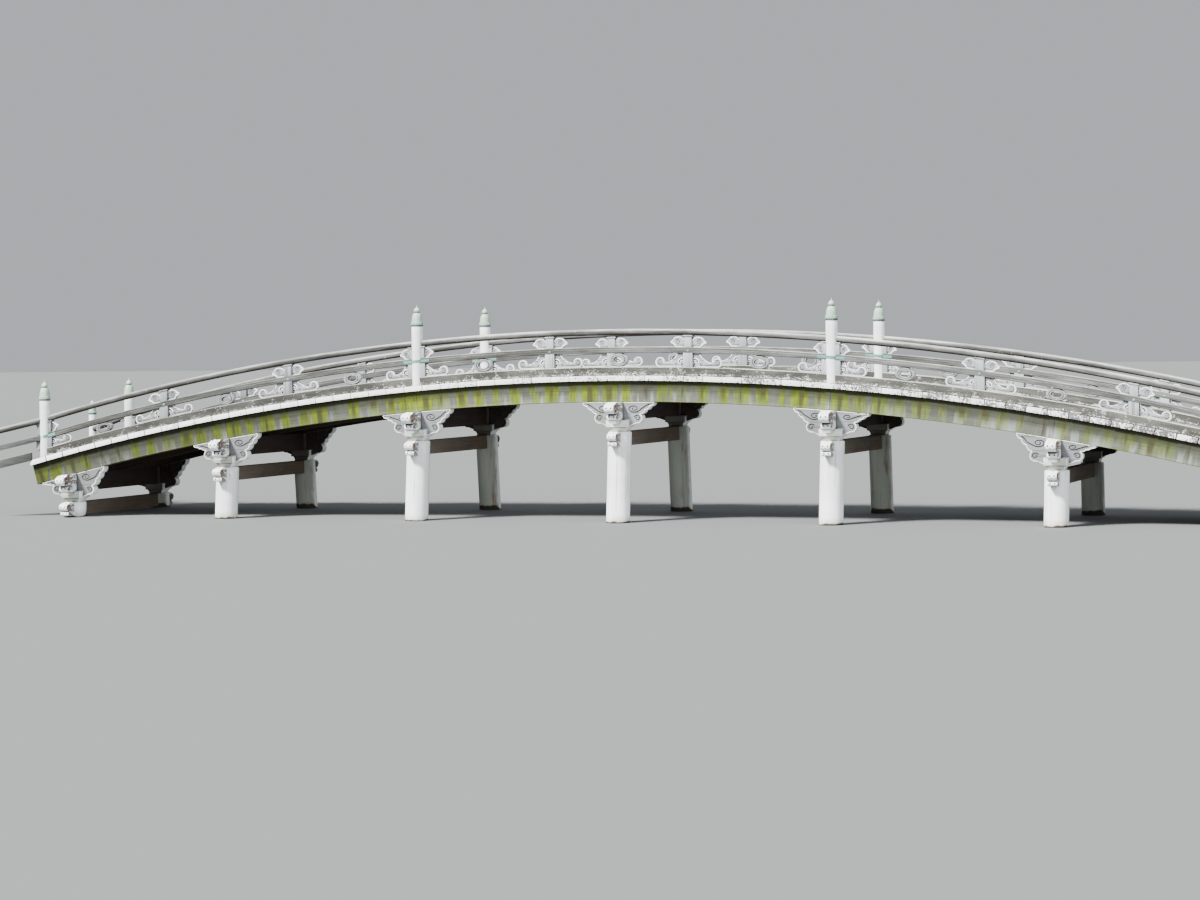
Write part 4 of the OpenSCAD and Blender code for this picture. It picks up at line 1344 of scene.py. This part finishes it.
class MOONBRIDGE_OT_panels(bpy.types.Operator):
    """Builds the pierced cloud panels and the scrolls over the mid rail"""
    bl_idname = "moonbridge.panels"
    bl_label = "Cloud panels and scrolls"

    def execute(self, context):
        s = sizes()
        reach, volute = 0.63, 0.088
        scroll_reach, scroll_h = 0.335, 0.190
        arris, sunk, into_rail = 0.004, 0.003, 0.008
        for row, side in ROWS.items():
            piece = Piece(f"{row}_carved_panels", 160 + side)
            for x in STATIONS:
                wide, head = strut_widths(x)
                for hand in (-1, 1):
                    # No panel stands outside the end posts
                    if abs(x + hand) > END_POST:
                        continue
                    tone = piece.random.random()
                    height = mid_low(x + hand * wide) - sill_top(x + hand * wide) + into_rail
                    loops = cloud_panel_loops(wide, height, reach, volute)
                    body = plate(loops, PANEL_T, arris, s.rim * 0.5, s.recess * 0.8, 0.78,
                                 panel_grooves(wide, reach, volute))
                    place = along_chord(x, side * ROW_Y, sill_top, hand * reach, -sunk)
                    piece.add(wash_rims(body, 0.8), place, tone)
                    horn = plate(scroll_loop(head, scroll_reach, scroll_h), PANEL_T, arris, s.rim * 0.65,
                                 s.recess * 0.8, 0.9, [scroll_groove(wide, scroll_reach, scroll_h)])
                    place = along_chord(x, side * ROW_Y, mid_top, hand * scroll_reach)
                    piece.add(wash_rims(horn, 0.9), place, tone)
            piece.finish("Panel timber", "panel_timber", f"{row}_cloud_panels")
        return {"FINISHED"}


class MOONBRIDGE_OT_medallions(bpy.types.Operator):
    """Builds the oval ring medallions between the struts"""
    bl_idname = "moonbridge.medallions"
    bl_label = "Ring medallions"

    def execute(self, context):
        piece = Piece("oval_ring_medallions", 180)
        width = 0.370
        # Each ring is three plates, one in the other: outer size, hole and thickness, as shares of the whole
        layers = ((1.0, 0.53, 0.62), (0.90, 0.72, 0.88), (0.64, 0.53, 1.0))
        for side in ROWS.values():
            for x0, x1 in zip(STATIONS, STATIONS[1:]):
                x = (x0 + x1) / 2
                low, high = sill_top(x) - 0.002, mid_low(x) + 0.002
                height = high - low
                place = standing(x, side * ROW_Y, (low + high) / 2, tilt=DECK.slope(x))
                tone = piece.random.random()
                for outer, hole, thick in layers:
                    cut = 1 - (1 - hole) * 1.02
                    loops = [oval(width * outer, height * outer), oval(width * cut, height * cut * 0.90)]
                    ring = plate(loops, RING_T * thick, 0.007)
                    piece.add(wash_rims(ring, 0.45), place, tone)
        piece.finish("Panel timber", "panel_timber", "ring_medallions")
        return {"FINISHED"}


class MOONBRIDGE_OT_posts(bpy.types.Operator):
    """Builds the round posts"""
    bl_idname = "moonbridge.posts"
    bl_label = "Round posts"

    def execute(self, context):
        height = POST_TOP - deck_top(BAY)
        piece = Piece("round_railing_posts", 200)
        for side in ROWS.values():
            for x in POSTS:
                radius = POST_D / 2
                taper = [(radius * (1 - 0.004 * i), height * i / 8) for i in range(1, 8)]
                post = turned([(0, 0), (radius, 0), *taper, (radius * 0.97, height - 0.008),
                               (radius * 0.93, height), (0, height)], 48)
                seed = piece.random.uniform(0, 60)
                for vert in post.verts:
                    bumps = noise.noise(Vector((vert.co.x * 9, vert.co.y * 9, vert.co.z + seed)))
                    vert.co.xy *= 1 - 0.004 + 0.006 * bumps
                piece.add(set_grain(post, "z", (seed, 0, 0)), at(x, side * ROW_Y, deck_top(x)))
        piece.finish("Post timber", "post_timber", "round_posts")
        return {"FINISHED"}


def cap_profile(d, h):
    """Half outline of an onion-shaped cap: rim, bell, neck, onion and spike."""
    points = [(0, 0), (0.50 * d, 0), (0.535 * d, 0.006 * h), (0.545 * d, 0.03 * h), (0.535 * d, 0.055 * h),
              (0.485 * d, 0.065 * h), (0.480 * d, 0.10 * h), (0.490 * d, 0.115 * h), (0.478 * d, 0.13 * h)]
    for i in range(1, 10):
        t = i / 9
        points.append((d * (0.478 - 0.06 * t - 0.118 * t ** 4), h * (0.13 + 0.44 * t)))
    points += [(0.22 * d, 0.592 * h), (0.185 * d, 0.60 * h), (0.180 * d, 0.622 * h), (0.21 * d, 0.630 * h)]
    for i in range(12):
        t = i / 11
        swell = math.sin(math.pi * (0.28 + 0.72 * t ** 0.8)) ** 0.8 if t < 1 else 0.0
        points.append((d * (0.035 + 0.245 * swell), h * (0.640 + 0.25 * t)))
    return points + [(0.045 * d, 0.92 * h), (0.030 * d, 0.97 * h), (0, h)]


def ring_of_scallops(radius, count, drop):
    """A ring of small hanging scallops round a cap's rim."""
    bm = fresh()
    made = bmesh.ops.create_circle(bm, cap_ends=False, segments=count * 8, radius=radius)
    for vert in made["verts"]:
        angle = math.atan2(vert.co.y, vert.co.x)
        vert.co.z = -drop * abs(math.sin(count * angle / 2))
    edges = bm.edges[:]
    for grow, fall in ((1.035, -0.003), (1.035, -0.006), (0.965, -0.003)):
        result = bmesh.ops.extrude_edge_only(bm, edges=edges)
        verts = made_of(result, BMVert)
        bmesh.ops.scale(bm, verts=verts, vec=(grow, grow, 1))
        bmesh.ops.translate(bm, verts=verts, vec=(0, 0, fall))
        edges = made_of(result, BMEdge)
    bmesh.ops.bridge_loops(bm, edges=[e for e in bm.edges if e.is_boundary])
    bmesh.ops.recalc_face_normals(bm, faces=bm.faces)
    return set_grain(bm)


class MOONBRIDGE_OT_caps(bpy.types.Operator):
    """Builds the copper caps of the posts"""
    bl_idname = "moonbridge.caps"
    bl_label = "Post caps"

    def execute(self, context):
        s = sizes()
        piece = Piece("copper_post_caps", 220)
        height = POST_TOP - deck_top(BAY)
        caps = [(at(x, side * ROW_Y, deck_top(x) + height), POST_D, CAP_H) for side in (-1, 1) for x in POSTS]
        wing_x, wing_y = WING_END.x - s.wing_post_d / 2, WING_END.y - s.wing_post_d / 2
        caps += [(at(a * wing_x, b * wing_y, WING_END.z), s.wing_post_d, s.wing_cap_h)
                 for a in (-1, 1) for b in (-1, 1)]
        for place, d, h in caps:
            piece.add(turned(cap_profile(d, h), 40), place)
            piece.add(ring_of_scallops(0.478 * d, 16, 0.045 * h), place @ at(0, 0, 0.145 * h))
            neck = turned([(0, 0), (0.20 * d, 0), (0.225 * d, 0.012 * h), (0.20 * d, 0.024 * h),
                           (0, 0.024 * h)], 24)
            piece.add(neck, place @ at(0, 0, 0.600 * h))
        piece.finish("Cap copper", "aged_copper", "post_caps", smooth=40)
        collar = Piece("copper_post_collars", 221)
        band_h, bulge, under_cap = 0.028, 0.004, 0.030
        for place, d, h in caps:
            band = turned([(0, 0), (0.508 * d, 0), (0.515 * d, bulge), (0.515 * d, band_h - bulge),
                           (0.508 * d, band_h), (0, band_h)], 40)
            collar.add(band, place @ at(0, 0, -under_cap))
        collar.finish("Collar copper", "aged_copper")
        return {"FINISHED"}


class MOONBRIDGE_OT_straps(bpy.types.Operator):
    """Finishes the copper straps, and adds their studs and the nail covers on the mid rail"""
    bl_idname = "moonbridge.straps"
    bl_label = "Straps and nail covers"

    def execute(self, context):
        s = sizes()
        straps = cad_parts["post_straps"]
        straps.data.materials.clear()
        straps.data.materials.append(bpy.data.materials["Strap copper"])
        piece = Piece("copper_studs", 240)
        half = s.mid_rail_h / 2
        studs = [post + offset for post in POSTS for offset in (-0.235, -0.150, 0.150, 0.235)
                 if abs(post + offset) <= END_POST]
        for side in ROWS.values():
            for face in (-1, 1):
                for x in studs:
                    spot = at(x, side * ROW_Y + face * (MID_W / 2 + 0.004), RAIL.z(x, MID_LIFT - half))
                    piece.add(lump((s.stud, s.stud * 0.6, s.stud), 1), spot)
                # The nail covers on the two middle struts have four sides
                for x in STRUTS:
                    cover = turned([(0, 0), (s.stud * 2.4, 0), (s.stud * 2.1, 0.004), (s.stud * 1.0, 0.008),
                                    (s.stud * 0.9, 0.014), (0, 0.017)], 4 if x in STRUTS[2:4] else 12)
                    spot = at(x, side * ROW_Y + face * (MID_W / 2 - 0.001), RAIL.z(x, MID_LIFT - half * 1.25))
                    piece.add(cover, spot @ turn(-face * math.pi / 2, "X"))
        piece.finish("Strap copper", "aged_copper")
        return {"FINISHED"}


class MOONBRIDGE_OT_wings(bpy.types.Operator):
    """Builds the short wing railings at both ends"""
    bl_idname = "moonbridge.wings"
    bl_label = "Wing railings"

    def execute(self, context):
        s = sizes()
        radius = s.wing_post_d / 2
        wing_x, wing_y = WING_END.x - radius, WING_END.y - radius
        run = Vector((wing_x - END_POST, wing_y - ROW_Y))
        fall = math.tan(DECK.slope(END_POST)) * run.x
        span = run.length
        short = 0.06
        pole_l = math.hypot(span, fall) - short
        height = WING_END.z - WING_FOOT
        rails, posts = Piece("wing_rail_timbers", 260), Piece("wing_posts_turned", 261)
        mid_base = mid_low(END_POST) - deck_top(END_POST)
        pole_z = RAIL.z(END_POST, HANDRAIL_D / 2) - deck_top(END_POST)
        # Foot, head, width and start of the wings' sill and mid rail
        members = ((0.0, SILL_H, SILL_W, 0.27), (mid_base, mid_base + s.mid_rail_h, MID_W, 0.08))
        for a in (-1, 1):
            for b in (-1, 1):
                corner = (mirror(a, b) @ at(END_POST, ROW_Y, deck_top(END_POST))
                          @ turn(math.atan2(run.y, run.x), "Z"))
                for low, high, width, start in members:
                    rail = between(start, span - radius * 0.6, -width / 2, width / 2,
                                   lambda u: low + fall * u / span, lambda u: high + fall * u / span, s.arris)
                    rails.add(set_grain(rail, "x", (a * 3 + b, low, 0)), corner)
                pole = turned([(0, 0), (HANDRAIL_D / 2, 0), (HANDRAIL_D / 2, pole_l), (0, pole_l)], 20)
                lean = turn(math.pi / 2 - math.atan2(fall, span), "Y")
                rails.add(pole, corner @ at(0, 0, pole_z) @ lean)
                post = turned([(0, 0), (radius, 0), (radius * 0.985, height - 0.01), (radius * 0.95, height),
                               (0, height)], 40)
                posts.add(post, at(a * wing_x, b * wing_y, WING_FOOT))
        rails.finish("Rail timber", "rail_timber", "wing_rails")
        posts.finish("Post timber", "post_timber", "wing_posts")
        return {"FINISHED"}


# The camera stands on the bank, as solved from the photograph: place, then yaw, pitch and roll in degrees
CAMERA_PLACE = (17.5306, -50.4566, 3.1755)
CAMERA_TURN = (-20.169, -2.0507, 0.6807)
CAMERA_LENS = 85.48
FLOOR_HALF, FLOOR_GAP = 400, 0.002
# Name, direction towards it, strength, angle and colour
LIGHTS = (("Key", (-0.50, -0.80, 0.95), 14.5, 0.20, (1.0, 0.985, 0.95)),
          ("Fill", (0.80, -0.75, 0.40), 2.2, 0.9, (0.93, 0.96, 1.0)))


class MOONBRIDGE_OT_stage(bpy.types.Operator):
    """Sets the floor, the lights and the camera"""
    bl_idname = "moonbridge.stage"
    bl_label = "Stage"

    def execute(self, context):
        scene = bpy.context.scene
        bm = bmesh.new()
        bmesh.ops.create_grid(bm, x_segments=2, y_segments=2, size=FLOOR_HALF)
        mesh = bpy.data.meshes.new("floor")
        bm.to_mesh(mesh)
        bm.free()
        floor = bpy.data.objects.new("floor", mesh)
        floor.location.z = -FLOOR_GAP
        scene.collection.objects.link(floor)
        shader = new_material("Pale floor")[1]
        wire(shader, {"Base Color": (*colours().floor, 1), "Roughness": 0.9, "Specular IOR Level": 0.1})
        mesh.materials.append(bpy.data.materials["Pale floor"])
        world = bpy.data.worlds.new("Soft sky")
        world.use_nodes = True
        wire(world.node_tree.nodes["Background"], {"Color": (*colours().sky, 1), "Strength": 0.62})
        scene.world = world
        for name, direction, strength, angle, colour in LIGHTS:
            lamp = bpy.data.lights.new(name, "SUN")
            lamp.energy, lamp.angle, lamp.color = strength, angle, colour
            holder = bpy.data.objects.new(name, lamp)
            holder.rotation_euler = Vector(direction).to_track_quat("Z", "Y").to_euler()
            scene.collection.objects.link(holder)
        yaw, pitch, roll = (math.radians(v) for v in CAMERA_TURN)
        ahead = Vector((math.sin(yaw) * math.cos(pitch), math.cos(yaw) * math.cos(pitch), math.sin(pitch)))
        right = Vector((math.cos(yaw), -math.sin(yaw), 0))
        down = ahead.cross(right)
        level = math.cos(roll) * right + math.sin(roll) * down
        below = -math.sin(roll) * right + math.cos(roll) * down
        camera = bpy.data.cameras.new("Bank")
        camera.lens = CAMERA_LENS
        camera.clip_end = 5 * FLOOR_HALF
        holder = bpy.data.objects.new("Bank", camera)
        holder.matrix_world = at(*CAMERA_PLACE) @ Matrix((level, -below, -ahead)).transposed().to_4x4()
        scene.collection.objects.link(holder)
        scene.camera = holder
        return {"FINISHED"}


OPERATORS = (MOONBRIDGE_OT_piles, MOONBRIDGE_OT_beams, MOONBRIDGE_OT_blocks, MOONBRIDGE_OT_brackets,
             MOONBRIDGE_OT_girders, MOONBRIDGE_OT_deck, MOONBRIDGE_OT_rails, MOONBRIDGE_OT_struts,
             MOONBRIDGE_OT_panels, MOONBRIDGE_OT_medallions, MOONBRIDGE_OT_posts, MOONBRIDGE_OT_caps,
             MOONBRIDGE_OT_straps, MOONBRIDGE_OT_wings, MOONBRIDGE_OT_stage)


class MOONBRIDGE_PT_panel(bpy.types.Panel):
    """Lists the bridge's pieces, sizes and colours"""
    bl_idname = "MOONBRIDGE_PT_panel"
    bl_label = "Moon Bridge"
    bl_space_type = "VIEW_3D"
    bl_region_type = "UI"
    bl_category = "Moon Bridge"

    def draw(self, context):
        layout = self.layout
        for operator in OPERATORS:
            layout.operator(operator.bl_idname)
        for group in (context.scene.bridge_sizes, context.scene.bridge_colours):
            for name in group.bl_rna.properties.keys():
                if name not in ("rna_type", "name"):
                    layout.prop(group, name)


CLASSES = (BridgeSizes, BridgeColours, *OPERATORS, MOONBRIDGE_PT_panel)


def register():
    """Adds the sizes, colours, operators and panel."""
    for cls in CLASSES:
        bpy.utils.register_class(cls)
    bpy.types.Scene.bridge_sizes = PointerProperty(type=BridgeSizes)
    bpy.types.Scene.bridge_colours = PointerProperty(type=BridgeColours)


def unregister():
    """Takes them away again."""
    del bpy.types.Scene.bridge_colours
    del bpy.types.Scene.bridge_sizes
    for cls in reversed(CLASSES):
        bpy.utils.unregister_class(cls)


def main():
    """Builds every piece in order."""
    register()
    build_materials()
    for operator in OPERATORS:
        group, name = operator.bl_idname.split(".")
        getattr(getattr(bpy.ops, group), name)()


if __name__ == "__main__":
    main()
